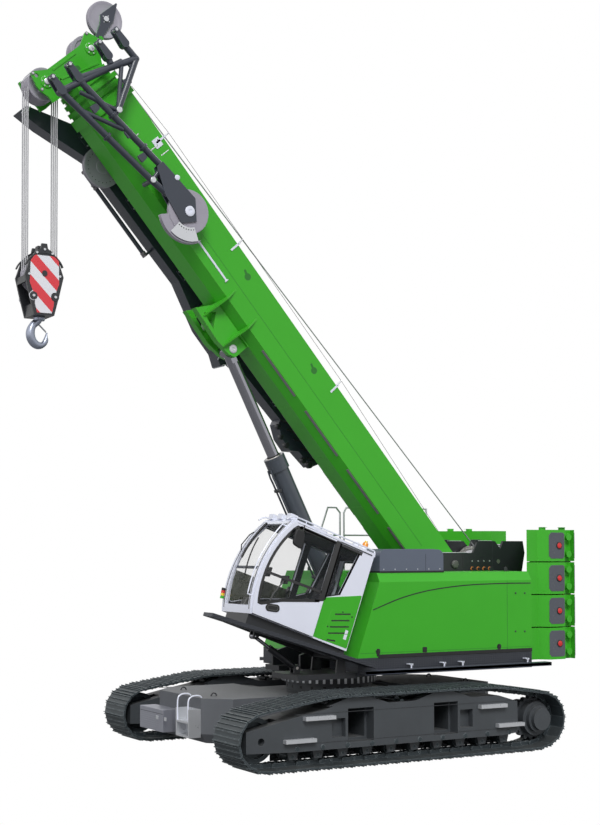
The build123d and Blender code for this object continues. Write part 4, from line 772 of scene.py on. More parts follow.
# Thin signal cable that runs along the tops of the posts to the boom's head
def cableLine():
    tops = [(u, boomSide - 0.04, ropeGuides["w"][1] + ropeGuides["post"]) for u in ropeGuides["spots"]]
    line = np.array([(1.0, boomSide - 0.04, 0.28)] + tops + [(10.6, boomSide - 0.04, 0.34)])
    piece("signalCable", rods(line[:-1], line[1:], 0.004, 6), rubberBlack, "boom")


# Turned faces on the two ends of the luffing rod's pin
def bracketPins():
    radius, heads = 0.075, []
    spot = joints["luff_rod_swing"]["pos_m"]
    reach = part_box("luff_pin")[1].y
    for side in (-1, 1):
        face = (spot[0], side * (reach - 0.004), spot[2])
        heads.append(spun([(0.0, 0.0), (radius, 0.0), (radius, 0.006), (radius - 0.012, 0.011), (0.03, 0.011),
                           (0.024, 0.006), (0.0, 0.006)], face, (0, side, 0), 36))
    piece("luffPinFaces", heads, zincSteel, "boom", place=machine)


# Hoist rope along the top of the boom, from the winch to the head
def boomRope():
    start, knee, end = [np.array((u, 0.0, w)) for u, w in luffRope["line"]]
    near = toWorld(start + (knee - start) * np.linspace(0, 1, 13)[:, None], boom)
    far = toWorld(knee + (end - knee) * np.linspace(0, 1, 24)[1:, None], boom)
    piece("boomRope", sweep(np.concatenate((near, far)), luffRope["radius"], 8), ropeWire, "boom",
          place=machine)


boomTrim()
ropeGuidePosts()
cableLine()
bracketPins()
boomRope()
print("boom dressed")

# Boom's head: axle caps, rope guards, ribs, sheave faces and the dark cheeks of the tip sheave.
tipSpot = joints["tip_sheave_turn"]["pos_m"]
headCheek, tipCheek, tipInside = 0.29, 0.0755, 0.044


# Turned face of a sheave: rim, dished web and hub, standing a little proud of the plain wheel
def sheaveFace(centre, radius, y, side, hub=0.11):
    profile = [(0.0, 0.004), (hub * 0.55, 0.004), (hub * 0.6, 0.009), (hub, 0.009), (hub * 1.08, 0.002),
               (radius * 0.62, 0.0012), (radius * 0.8, 0.002), (radius * 0.84, 0.008), (radius * 0.97, 0.008),
               (radius * 0.985, 0.001), (radius * 0.985, -0.002), (0.0, -0.002)]
    return spun(profile, (centre[0], y, centre[2]), (0, side, 0), 64)


# Caps, bosses and bolts where the sheaves' axles pass through the cheeks
def headTrim():
    low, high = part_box("head_axles")
    caps, plates, bolts = [], [], []
    for joint in ("head_sheaves_turn", "return_sheaves_turn"):
        x, z = joints[joint]["pos_m"][::2]
        for side, y in ((1, high.y), (-1, low.y)):
            caps.append(spun([(0, 0.0), (0.05, 0.0), (0.05, 0.008), (0.04, 0.013), (0, 0.013)],
                             (x, y - side * 0.004, z), (0, side, 0), 32))
            spots = circleSpots((x, z), 0.083, 6, side * headCheek)
            plates.append(spun([(0.054, 0.0), (0.105, 0.0), (0.105, 0.012), (0.098, 0.016), (0.054, 0.016)],
                               (x, side * headCheek, z), (0, side, 0), 40))
            bolts.append(hexBolts(spots + (0, side * 0.016, 0), (0, side, 0), 0.012, 0.01))
    piece("headAxleCaps", caps, zincSteel, "section_4")
    piece("headBosses", plates, greenPaint, "section_4")
    piece("headBossBolts", bolts, zincSteel, "section_4")


# Guard rods that keep the ropes in the sheaves, with a collar and nut at each cheek
def headGuards():
    spots = ((11.683, -0.965), (11.687, 0.262), (11.40, -1.0), (11.49, 0.37), (11.02, 0.2))
    starts, ends = [[(u, side * (headCheek + 0.02), w) for u, w in spots] for side in (-1, 1)]
    piece("ropeGuardRods", rods(starts, ends, 0.016, 14), zincSteel, "section_4", place=boom)
    collars = [discs([(u, side * headCheek, w) for u, w in spots], 0.03, side * 0.012, sides=6)
               for side in (-1, 1)]
    piece("ropeGuardNuts", collars, zincDull, "section_4", place=boom)


# Ribs and slots of the two cheeks, the slots dark green as painted shade where they are open, and the grey
# tip bracket
def headPlates():
    ribs, slots = [], []
    for side in (-1, 1):
        y0, y1 = side * headCheek, side * (headCheek + 0.012)
        for start, end in (((11.2, 0.13), (11.36, -0.66)), ((11.54, -0.12), (11.54, -0.64)),
                           ((11.16, -0.62), (11.42, -0.62))):
            ribs.append(ribbon(np.linspace(start, end, 5), 0.03, y0, y1))
        # Slot outlines in the darker green: painted shade in the openings
        slots.append(prism(rounded([(11.22, -0.46), (11.40, -0.46), (11.38, -0.2), (11.24, -0.2)], 0.06),
                           side * (headCheek - 0.001), side * (headCheek + 0.0015)))
    piece("headRibs", ribs, greenPaint, "section_4", place=boom, bevel=0.002)
    piece("headSlots", slots, boomShade, "section_4", place=boom)
    x, z = tipSpot[::2]
    u, w = 11.69, 0.85
    covers = []
    for side in (-1, 1):
        outline = [(11.54, 0.455), (u + 0.008, w - 0.132), (u + 0.114, w - 0.042), (u + 0.111, w + 0.332),
                   (u + 0.09, w + 0.345), (u - 0.09, w + 0.1), (11.452, 0.452)]
        covers.append(prism(outline, side * (tipCheek - 0.006), side * tipCheek))
        covers.append(prism(outline, side * tipInside, side * (tipInside - 0.0035)))
    piece("tipCheeks", covers, jibGrey, "section_4", place=boom, bevel=0.002)
    faces = [discs((x, side * tipCheek, z), 0.045, side * 0.02, sides=28) for side in (-1, 1)]
    faces += [hexBolts(circleSpots((x, z), 0.066, 4, side * tipCheek, 0.6), (0, side, 0), 0.01, 0.009)
              for side in (-1, 1)]
    piece("tipAxleCaps", faces, zincSteel, "section_4")


# Turned faces on the outer sides of the wheels
def sheaveDress():
    wheels = (("headSheaveFaces", "head_sheaves", "head_sheaves_turn", "head_wheels"),
              ("tipSheaveFaces", "tip_sheave", "tip_sheave_turn", "tip_wheel"),
              ("blockSheaveFaces", "block_sheaves", "block_sheaves_turn", "block_wheels"))
    for name, node, joint, body in wheels:
        low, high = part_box(node)
        centre = joints[joint]["pos_m"]
        radius = (high.x - low.x) / 2
        outer = high.y if node == "tip_sheave" else 0.153
        faces = [sheaveFace(centre, radius, side * outer, side) for side in (-1, 1)]
        piece(name, faces, sheaveCast, body)


headTrim()
headGuards()
headPlates()
sheaveDress()
print("boom's head dressed")


# Hook block: striped cheeks, bolts, side discs, and the hook's nut and latch.
blockSpot = np.array(joints["block_sheaves_turn"]["pos_m"])
hookSpot = np.array(joints["hook_swivel"]["pos_m"])
blockDress = {"face": 0.23, "period": 0.43, "phase": 0.3, "notch": 0.075,
              "notchSpots": ((-0.185, -0.37), (0.185, -0.37)),
              "bolts": ((0.13, 0.325), (-0.13, 0.325), (0.0, 0.385), (0.262, -0.03), (-0.262, -0.03))}


# Red and white bands at 45 degrees, painted across the block's cheeks
def stripeFinish():
    material = finish("warningBands", srgb(240, 240, 246), 0.35, 0.0, 0.25, tone=0.04, dust=0.02, wear=0.15)
    tree = material.node_tree
    age = [node for node in tree.nodes if node.type == "GROUP"][0]
    split = addNode(tree, "SeparateXYZ", {0: objectSpace(tree)}).outputs
    across = mathNode(tree, "SUBTRACT", split["X"], split["Z"])
    shifted = mathNode(tree, "ADD", mathNode(tree, "DIVIDE", across, blockDress["period"]),
                       blockDress["phase"])
    band = mathNode(tree, "GREATER_THAN", mathNode(tree, "FRACT", shifted, 0.0), 0.5)
    feed(tree, mixNode(tree, band, srgb(240, 240, 246), srgb(228, 60, 70)), age.inputs["Color"])
    return material


# Striped cheek plates with their bolts, side discs, rims and the rope's eye
def blockCheeks():
    x, z = blockSpot[::2]
    face, notch = blockDress["face"], blockDress["notch"]
    outline = [(-0.215, 0.285), (0.165, 0.285), (0.235, 0.19), (0.25, -0.16), (0.2, -0.28)]
    outline += arc(blockDress["notchSpots"][1], notch, 70, -110, 10).tolist()
    outline += [(0.16, -0.5), (0.125, -0.635), (-0.125, -0.635), (-0.16, -0.5)]
    outline += arc(blockDress["notchSpots"][0], notch, -70, 110, 10).tolist()
    outline += [(-0.2, -0.28), (-0.25, -0.16), (-0.245, 0.22)]
    plate = np.array(outline) + (x, z)
    piece("stripedPlates", both(prism(plate, *onFace(face, 0.005))), stripeFinish(), "block")
    sideDiscs, nuts = [], []
    for u, w in blockDress["notchSpots"]:
        sideDiscs += both(discs((x + u, face - 0.002, z + w), 0.066, 0.012))
        nuts += both(hexBolts((x + u, face + 0.01, z + w), radius=0.024, height=0.016))
    for u, w in blockDress["bolts"]:
        nuts += both(hexBolts((x + u, face, z + w), radius=0.021, height=0.018))
    sideDiscs += both(spun([(0.0, 0.0), (0.03, 0.0), (0.03, 0.01), (0.0, 0.01)], (x, face + 0.004, z),
                           sides=24))
    piece("blockSideDiscs", sideDiscs, blackPaint, "block")
    piece("blockBolts", nuts, zincSteel, "block")
    rims = both(ribbon(arc((x, z), 0.335, 20, 160, 20), 0.022, face - 0.041, face + 0.008))
    piece("blockTopRims", rims, blackPaint, "block", bevel=0.003)
    strips = blocks([(x - 0.05, -0.06, z + 0.40), (x - 0.035, -0.19, z + 0.37)],
                    [(x + 0.05, 0.06, z + 0.475), (x + 0.035, 0.19, z + 0.40)])
    piece("blockRopeEye", strips, blackPaint, "block", bevel=0.006)


# Nut round the shank and the spring latch across the hook's mouth
def hookTrim():
    x, z = hookSpot[::2]
    nut = spun([(0.0, -0.03), (0.086, -0.03), (0.094, -0.02), (0.094, 0.02), (0.086, 0.03), (0.0, 0.03)],
               (x, 0, z - 0.03), (0, 0, 1), 32)
    piece("hookCollar", nut, hookSteel, "hook")
    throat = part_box("hook")[0].z + 0.25
    tip = np.array((x - 0.132, 0.0, throat + 0.02))
    root = np.array((x + 0.065, 0.0, throat + 0.2))
    latch = [rods([root], [tip + (0.012, 0, 0.012)], 0.011, 10)]
    latch += [rods(root - (0, 0.035, 0), root + (0, 0.035, 0), 0.016, 12)]
    latch += [strip((root + tip) / 2 + (0, y, 0), tip - root, 0.2, 0.006, 0.028, (0, 1, 0))
              for y in (-0.02, 0.014)]
    piece("hookLatch", latch, zincSteel, "hook")


blockCheeks()
hookTrim()
print("hook block dressed")

# Luffing cylinder: gland, wiper, pipes and clamps, measured down from the rod's pin.
ramLow, ramHigh = localBox("luff_cylinder_barrel", ram)
ramDress = {"collarTop": ramLow[0], "foot": ramHigh[0] - 0.13, "collar": 0.19, "barrel": 0.165,
            "collarLength": 0.25}


# Gland, wiper, bands, pipes with clamps and the valve block of the luffing cylinder
def ramTrim():
    top, collar, barrel = ramDress["collarTop"], ramDress["collar"], ramDress["barrel"]
    gland = spun([(0.106, -0.012), (0.135, -0.012), (0.145, 0.0), (0.172, 0.0), (0.178, 0.006),
                  (0.178, 0.0065), (0.106, 0.0065)], (top, 0, 0), (1, 0, 0), 64)
    piece("ramGland", gland, bareSteel, "luff_barrel")
    wiper = spun([(0.106, 0.0), (0.12, 0.0), (0.12, 0.022), (0.106, 0.022)], (top - 0.03, 0, 0), (1, 0, 0),
                 48)
    piece("ramWiper", wiper, rubberBlack, "luff_barrel")
    spots = [(top - 0.001, math.cos(a) * 0.155, math.sin(a) * 0.155)
             for a in np.linspace(0, 2 * np.pi, 12, False)]
    piece("ramGlandBolts", rods(spots, np.array(spots) - (0.012, 0, 0), 0.011, 6), zincSteel, "luff_barrel")
    bands = [spun([(collar - 0.004, s), (collar + 0.002, s + 0.002), (collar + 0.002, s + 0.012),
                   (collar - 0.004, s + 0.014)], (top, 0, 0), (1, 0, 0), 64)
             for s in (0.02, ramDress["collarLength"] - 0.035)]
    bands.append(spun([(barrel - 0.004, 0.0), (barrel + 0.008, 0.004), (barrel + 0.008, 0.05),
                       (barrel - 0.004, 0.054)], (ramDress["foot"] - 0.62, 0, 0), (1, 0, 0), 64))
    piece("ramRings", bands, cylinderGrey, "luff_barrel")
    start, end = top + 0.32, ramDress["foot"] - 0.55
    pipes, clamps, pipeSpots = [], [], (-0.05, 0.05)
    for y in pipeSpots:
        path = [(top + 0.18, y, 0.19), (start, y, 0.205), (start + 0.1, y, 0.2), (end, y, 0.2),
                (end + 0.06, y, 0.17)]
        pipes.append(sweep(path, 0.017, 12))
    for s in np.linspace(start + 0.25, end - 0.2, 4):
        clamps.append(blocks((s - 0.025, -0.085, 0.16), (s + 0.025, 0.085, 0.226)))
        clamps.append(hexBolts([(s, 0, 0.226)], (0, 0, 1), 0.012, 0.008))
    piece("ramPipes", pipes, cylinderGrey, "luff_barrel")
    piece("ramPipeClamps", clamps, blackPaint, "luff_barrel", bevel=0.003)
    block = blocks((end + 0.02, -0.09, 0.12), (end + 0.18, 0.09, 0.225))
    fittings = rods([(end + 0.08, y, 0.2) for y in pipeSpots], [(end + 0.08, y, 0.255) for y in pipeSpots],
                    0.02, 6)
    piece("ramValveBlock", [block, fittings], bareSteel, "luff_barrel", bevel=0.004)


ramTrim()
print("luffing cylinder dressed")

# Stowed jib: wheel with its dial, pins and tabs, and the box section on the far side.
jibWheel = {"centre": (8.472, -0.35), "y": 0.71, "face": 0.775, "hub": 0.085, "dial": (0.27, 0.5),
            "dialArc": (202, 265), "dots": 7, "guard": 0.53}
forkSpots = ((11.45, -0.965), (11.45, -0.588), (11.45, 0.087), (11.45, 0.471))


# Part of a flat ring, as a prism
def sector(centre, inner, outer, degrees0, degrees1, y0, y1, steps=20):
    outline = np.concatenate((arc(centre, outer, degrees0, degrees1, steps),
                              arc(centre, inner, degrees1, degrees0, steps)))
    return prism(outline, y0, y1)


# Rims, openings in painted shade and hub of the jib's wheel, its dial with holes in painted shade, and its
# guard
def jibWheelTrim():
    centre, y, face = jibWheel["centre"], jibWheel["y"], jibWheel["face"]
    outer = y + 0.03
    rims = [spun([(0.30, 0.0), (0.362, 0.0), (0.362, 0.006), (0.30, 0.006)],
                 (centre[0], y + side * 0.03, centre[1]), (0, side, 0), 72) for side in (-1, 1)]
    piece("jibWheelRims", rims, sheaveCast, "jib_wheel")
    # Openings of the wheel drawn as dark green sectors: painted shade
    openings = [sector(centre, 0.15, 0.265, turn + 14, turn + 58, *onFace(outer, 0.002))
                for turn in range(0, 360, 72)]
    piece("jibWheelOpenings", openings, boomShade, "jib_wheel", slot="sheave_grey")
    hubs = [spun([(0.0, 0.0), (jibWheel["hub"], 0.0), (jibWheel["hub"], 0.02), (0.07, 0.026), (0.03, 0.026),
                  (0.03, 0.02), (0.0, 0.02)], (centre[0], face, centre[1]), sides=36)]
    hubs.append(strip((centre[0], face + 0.021, centre[1]), (1, 0, 0.4), 0.11, 0.012, 0.006, (0, 1, 0)))
    hubs.append(spun([(0, 0), (0.045, 0), (0.045, 0.012), (0.038, 0.016), (0, 0.016)], (9.023, face, -0.177),
                     sides=30))
    piece("jibWheelHub", hubs, whitePaint, "boom")
    dial = sector(centre, *jibWheel["dial"], *jibWheel["dialArc"], face, face + 0.006)
    piece("jibDial", dial, zincSteel, "boom")
    # Dark dots on the dial where its holes are: painted shade
    first, last = np.radians(jibWheel["dialArc"])
    angle = np.linspace(first + 0.1, last - 0.1, jibWheel["dots"])
    dots = sideCurve(np.array(centre) + 0.31 * np.stack((np.cos(angle), np.sin(angle)), 1), face + 0.006)
    piece("jibDialHoles", discs(dots, 0.01, 0.002), rubberBlack, "boom")
    guard = [sector(centre, 0.38, jibWheel["guard"], 200, 300, y + a, y + b, 24)
             for a, b in ((-0.02, 0.02), (-0.045, -0.036), (0.036, 0.045))]
    piece("jibWheelGuard", guard, sheaveCast, "boom", bevel=0.003)


# Fork pins with cross pins, the tubes' flanges and the tabs that pins pass through
def jibPins():
    pins, collars, back, front, key = [], [], 0.62, 0.80, 0.78
    for u, w in forkSpots:
        pins.append(rods((u, back, w), (u, front, w), 0.026, 18))
        pins.append(rods((u, key, w - 0.05), (u, key, w + 0.05), 0.006, 8))
        collars.append(discs((u, key, w), 0.042, 0.014))
    for u, w in ((10.433, -0.327), (9.236, -0.56)):
        pins.append(spun([(0, 0), (0.05, 0), (0.05, 0.012), (0.042, 0.018), (0, 0.018)], (u, 0.765, w),
                         sides=30))
    for u, w in ((9.95, -0.36), (9.62, -0.19), (9.45, -0.07)):
        pins.append(rods((u, 0.68, w - 0.06), (u, 0.74, w + 0.08), 0.01, 8))
    piece("jibPins", pins, zincSteel, "boom")
    piece("jibPinCollars", collars, jibGrey, "boom")
    tabs = [prism(rounded([(u - 0.07, w - 0.05), (u + 0.07, w - 0.05), (u + 0.05, w + 0.09),
                           (u - 0.05, w + 0.09)], 0.03), 0.69, 0.73)
            for u, w in ((10.05, -0.42), (9.62, -0.47), (10.68, -0.66), (10.9, 0.36), (10.7, 0.1))]
    piece("jibTabs", tabs, jibGrey, "boom", bevel=0.003)
    flanges = []
    for a, b, share in (((11.2, -0.588), (9.37, -0.27), 0.42), ((11.2, -0.965), (9.236, -0.56), 0.5),
                        ((11.2, -0.588), (9.37, -0.27), 0.8)):
        a, b = np.array((a[0], 0.71, a[1])), np.array((b[0], 0.71, b[1]))
        spot, along = a + (b - a) * share, (b - a) / np.linalg.norm(b - a)
        flanges.append(spun([(0.0, -0.02), (0.078, -0.02), (0.078, 0.02), (0.0, 0.02)], spot, along, 28))
    piece("jibTubeFlanges", flanges, jibGrey, "boom", bevel=0.003)


# Plates, seams and stowed clamps of the box section on the far side
def farBoxTrim():
    inner, outer = -0.56, -0.86
    plates, pins, hoses = [], [], []
    for u0, u1, w0, w1 in ((10.2, 10.45, -0.52, -0.3), (8.9, 9.15, -0.5, -0.2), (7.4, 7.65, -0.5, -0.2),
                           (6.2, 6.45, -0.7, -0.3), (4.6, 4.75, -0.5, -0.15)):
        plates.append(panel(u0, u1, w0, w1, inner, 0.012))
        plates.append(blocks((u0, outer - 0.012, w0), (u1, outer + 0.001, w1)))
        pins.append(hexBolts([(u, inner + 0.012, w) for u in (u0 + 0.04, u1 - 0.04)
                              for w in (w0 + 0.04, w1 - 0.04)]))
    for u, w in ((11.3, -1.07), (11.28, -0.99)):
        pins.append(rods((u, -0.54, w), (u, -0.88, w), 0.02, 12))
        pins.append(rods((u, -0.53, w - 0.06), (u + 0.02, -0.53, w + 0.06), 0.012, 8))
    pins.append(rods((5.84, -0.52, -0.84), (5.84, -0.9, -0.84), 0.02, 12))
    pins.append(rods((6.04, -0.545, -0.74), (5.98, -0.54, -0.86), 0.012, 8))
    piece("farBoxPlates", plates, jibGrey, "boom", bevel=0.003)
    piece("farBoxPins", pins, zincSteel, "boom")
    collars = [spun([(0.038, -0.02), (0.05, -0.02), (0.05, 0.02), (0.038, 0.02)], (u, -0.71, -0.74),
                    (1, 0, 0), 24) for u in (8.19, 8.24, 9.6, 9.66, 9.93)]
    piece("farStrutCollars", collars, zincDull, "boom")
    lumps = []
    for u, w, size in ((3.36, -0.58, 0.07), (3.5, -0.63, 0.055), (3.94, -0.73, 0.06), (4.12, -0.72, 0.05),
                       (4.3, -0.64, 0.055)):
        lumps.append(spun([(0.0, -0.05), (size * 0.7, -0.05), (size, -0.03), (size, 0.03), (size * 0.7, 0.05),
                           (0.0, 0.05)], (u, -0.6, w), (0, 1, 0), 20))
    for s in range(5):
        u = 3.3 + 0.22 * s
        hoses.append(sweep([(u, -0.545, -0.3), (u + 0.03, -0.52, -0.4), (u + 0.1, -0.52, -0.5),
                            (u + 0.2, -0.545, -0.56)], 0.014, 8))
    piece("farHoseEnds", lumps, blackPaint, "boom")
    piece("farPipes", hoses, rubberBlack, "boom")


# Turned faces of the sheave on the far side, and its rim holes as dark dots of painted shade
def farSheaveTrim():
    centre = joints["jib_sheave_far_turn"]["pos_m"]
    low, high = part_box("jib_sheave_far")
    faces = [sheaveFace(centre, 0.35, y, side) for side, y in ((1, high.y), (-1, low.y))]
    # Dark dots on the rim where its holes are: painted shade
    holes = [discs(circleSpots((centre[0], centre[2]), 0.27, 24, high.y + 0.007), 0.008, 0.002)]
    piece("farSheaveFaces", faces, sheaveCast, "jib_wheel_far")
    piece("farSheaveHoles", holes, rubberBlack, "jib_wheel_far")


jibWheelTrim()
jibPins()
farBoxTrim()
farSheaveTrim()
print("jib dressed")


# Housings, air hood, catwalks and slewing ring: pinstripe, seams, latches, slats, brackets, teeth.
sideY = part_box("housings")[1].y
houseDress = {"stripe": ((0.123, 2.44), (-0.435, 2.623), (-0.964, 2.738), (-1.504, 2.804), (-2.055, 2.84),
                         (-2.778, 2.853), (-3.322, 2.851)), "stripeWidth": 0.02,
              "latches": ((0.024, 1.743), (-2.586, 1.738)), "vent": (-0.952, 1.738, 0.045),
              "bolts": ((-2.972, 2.676), (-3.186, 2.673), (-2.965, 1.993), (-3.179, 1.987)), "seam": -2.78}


# Points on a smooth curve through a few spots, by Catmull-Rom spans
def smoothPath(points, steps=40):
    spots = np.asarray(points, float)
    spots = np.concatenate(([2 * spots[0] - spots[1]], spots, [2 * spots[-1] - spots[-2]]))
    t = np.linspace(0, 1, steps // (len(points) - 1) + 1)[:-1, None]
    made = []
    for a, b, c, d in zip(spots, spots[1:], spots[2:], spots[3:]):
        made.append(0.5 * (2 * b + (c - a) * t + (2 * a - 5 * b + 4 * c - d) * t ** 2
                           + (3 * b - a - 3 * c + d) * t ** 3))
    return np.concatenate(made + [spots[-2:-1]])


# Pinstripe, seams, latches, vent, bolts, sills and lift eyes of the housings
def houseTrim():
    stripe = ribbon(smoothPath(houseDress["stripe"]), houseDress["stripeWidth"], *onFace(sideY, 0.0015))
    piece("pinstripes", both(stripe), rubberBlack, "superstructure", smooth=False)
    low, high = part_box("housings")
    x = houseDress["seam"]
    seams = both(panel(x - 0.004, x + 0.004, low.z + 0.02, 2.9, sideY, 0.001))
    seams += both(panel(low.x + 0.01, high.x - 0.06, low.z + 0.075, low.z + 0.082, sideY, 0.001))
    seams += both(blocks((low.x, 0.58, high.z - 0.001), (-1.42, 0.586, high.z + 0.001)))
    seams += both(blocks([(x, 0.6, high.z - 0.001) for x in (-2.78, -1.9)],
                         [(x + 0.008, 1.46, high.z + 0.001) for x in (-2.78, -1.9)]))
    piece("houseSeams", seams, boomShade, "superstructure", smooth=False)
    latches, rims = [], []
    for x, z in houseDress["latches"]:
        drop = np.concatenate((arc((x, z), 0.045, -30, 210, 16),
                               [(x - 0.02, z - 0.085), (x + 0.02, z - 0.085)]))
        latches += both(prism(drop, *onFace(sideY, 0.007)))
        rims += both(discs((x, sideY + 0.007, z), 0.022, 0.006))
    x, z, half = houseDress["vent"]
    frameOutline = rounded([(x - half, z - half), (x + half, z - half), (x + half, z + half),
                            (x - half, z + half)], 0.012)
    latches += both(prism(frameOutline, *onFace(sideY, 0.006)))
    latches += both(blocks([(x - half + 0.01, sideY + 0.004, z + dz) for dz in (-0.03, -0.01, 0.01)],
                           [(x + half - 0.01, sideY + 0.011, z + dz + 0.008) for dz in (-0.03, -0.01, 0.01)]))
    piece("houseLatches", latches, glossBlack, "superstructure", bevel=0.001)
    piece("houseLatchKeys", rims, rubberBlack, "superstructure", slot="bare_steel")
    bolts = [(x, sideY, z) for x, z in houseDress["bolts"]]
    piece("houseBolts", both([spun([(0, 0), (0.018, 0), (0.016, 0.007), (0, 0.009)], spot, sides=16)
                              for spot in bolts]), blackPaint, "superstructure")
    edge = both(beam([(sideY - 0.002, low.z - 0.012), (sideY + 0.012, low.z - 0.012),
                      (sideY + 0.012, low.z + 0.05), (sideY - 0.002, low.z + 0.05)], low.x, high.x - 0.42))
    piece("houseSills", edge, glossBlack, "superstructure", bevel=0.002)
    lift = [prism(np.concatenate((arc((x, high.z + 0.045), 0.035, 0, 180, 12),
                                  [(x - 0.035, high.z), (x + 0.035, high.z)])), *onFace(y, 0.006, 0.006))
            for x in (-0.35, -3.05) for y in (1.2, 0.8)]
    piece("houseLiftEyes", lift + [mirrored(part) for part in lift], blackPaint, "superstructure",
          bevel=0.002)


# Air hood's slats, seam and bolts, the engine's grilles and the exhaust pipe
def hoodTrim():
    low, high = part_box("air_hood")
    seam = blocks((low.x + 0.38, high.y - 0.001, low.z), (low.x + 0.386, high.y + 0.001, high.z - 0.08))
    sill = blocks((low.x - 0.008, low.y + 0.01, low.z), (high.x + 0.008, high.y + 0.008, low.z + 0.03))
    slats = [panel(low.x + 0.12, high.x - 0.16, high.z - 0.003, high.z + 0.006, y, 0.02, 0)
             for y in np.arange(low.y + 0.08, high.y - 0.1, 0.045)]
    slats += [blocks((low.x - 0.006, low.y + 0.08, z), (low.x + 0.001, high.y - 0.1, z + 0.018))
              for z in np.arange(low.z + 0.06, high.z - 0.14, 0.04)]
    piece("hoodSeam", [seam, sill], rubberBlack, "superstructure", smooth=False)
    piece("hoodSlats", slats, hoodGrey, "superstructure", bevel=0.002)
    bolts = hexBolts([(x, high.y, low.z + 0.06) for x in np.linspace(low.x + 0.08, high.x - 0.08, 6)],
                     radius=0.011, height=0.006)
    piece("hoodBolts", bolts, zincSteel, "superstructure")
    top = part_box("housings")[1].z
    grilles = [panel(x0, x1, top - 0.002, top + 0.012, y, 0.022, 0)
               for x0, x1 in ((-2.65, -2.0), (-1.8, -1.5)) for y in np.arange(-1.36, -0.72, 0.05)]
    piece("engineGrilles", grilles, blackPaint, "superstructure", bevel=0.002)
    pipe = sweep([(-2.2, -0.75, top), (-2.2, -0.75, top + 0.14), (-2.23, -0.75, top + 0.2),
                  (-2.31, -0.75, top + 0.23)], 0.055, 24)
    piece("exhaustPipe", pipe, bareSteel, "superstructure")


# Brackets under the catwalks, their bolts and the worn edges
def catwalkTrim():
    low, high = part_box("side_beams")
    brackets, edges, bolts = [], [], []
    for x in (-0.6, -1.30, -1.70, -3.16):
        brackets += both(blocks((x - 0.035, sideY - 0.02, 1.50), (x + 0.035, sideY + 0.10, 1.517)))
        brackets += both(blocks((x - 0.012, sideY + 0.085, 1.44), (x + 0.012, sideY + 0.10, 1.517)))
        bolts += both(hexBolts([(x - 0.02, sideY + 0.1, 1.49), (x + 0.02, sideY + 0.1, 1.49)], radius=0.009,
                               height=0.006))
    edges += both(blocks((low.x, high.y - 0.006, 1.37), (0.41, high.y, 1.43)))
    edges += both(blocks((low.x, sideY + 0.014, 1.4301), (0.41, high.y, 1.434)))
    piece("catwalkEdges", edges, walkEdge, "superstructure", bevel=0.001)
    piece("catwalkBrackets", brackets, whitePaint, "superstructure", bevel=0.002)
    piece("catwalkBolts", bolts, zincSteel, "superstructure")


# Slewing ring: pale tooth flanks round the gear, holes in the pedestal as dark strips of painted shade, and
# seals on the bearing
def ringTrim():
    gearLow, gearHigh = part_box("slewing_ring_gear")
    bearingLow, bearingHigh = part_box("slewing_ring_bearing")
    count, radius, pedestal = 42, gearHigh.y, 0.759
    low, high = gearLow.z + 0.008, gearHigh.z - 0.008
    angle = np.linspace(0, 2 * np.pi, count, endpoint=False)
    outs = np.stack((np.cos(angle), np.sin(angle), 0 * angle), 1)
    teeth = [strip(out * (radius - 0.001) + (0, 0, (low + high) / 2), (0, 0, 1), high - low, 0.045, 0.012,
                   out) for out in outs]
    piece("ringTeeth", teeth, zincSteel, "undercarriage", bevel=0.004)
    # Dark strips where the pedestal's holes are: painted shade
    holes = [strip(out * pedestal + (0, 0, 1.055), (0, 0, 1), 0.05, 0.05, 0.003, out) for out in outs[::2]]
    piece("pedestalHoles", holes, rubberBlack, "undercarriage", bevel=0.01)
    reach = bearingHigh.y
    band = rings([(reach - 0.002, -0.006), (reach + 0.004, -0.004), (reach + 0.004, 0.004),
                  (reach - 0.002, 0.006)], (0, 0, bearingLow.z + 0.012), (0, 0, 1), 120)
    piece("bearingSeals", band, rubberBlack, "superstructure")


houseTrim()
hoodTrim()
catwalkTrim()
print("housings dressed")

# Counterweights: side panels, reflectors, boss caps and lifting chains.
weightLow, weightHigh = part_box("counterweights")
weightDress = {"plates": 4, "panel": (-4.13, -3.762), "rearCorner": (-4.4425, 1.4775), "reflectorX": -4.0}


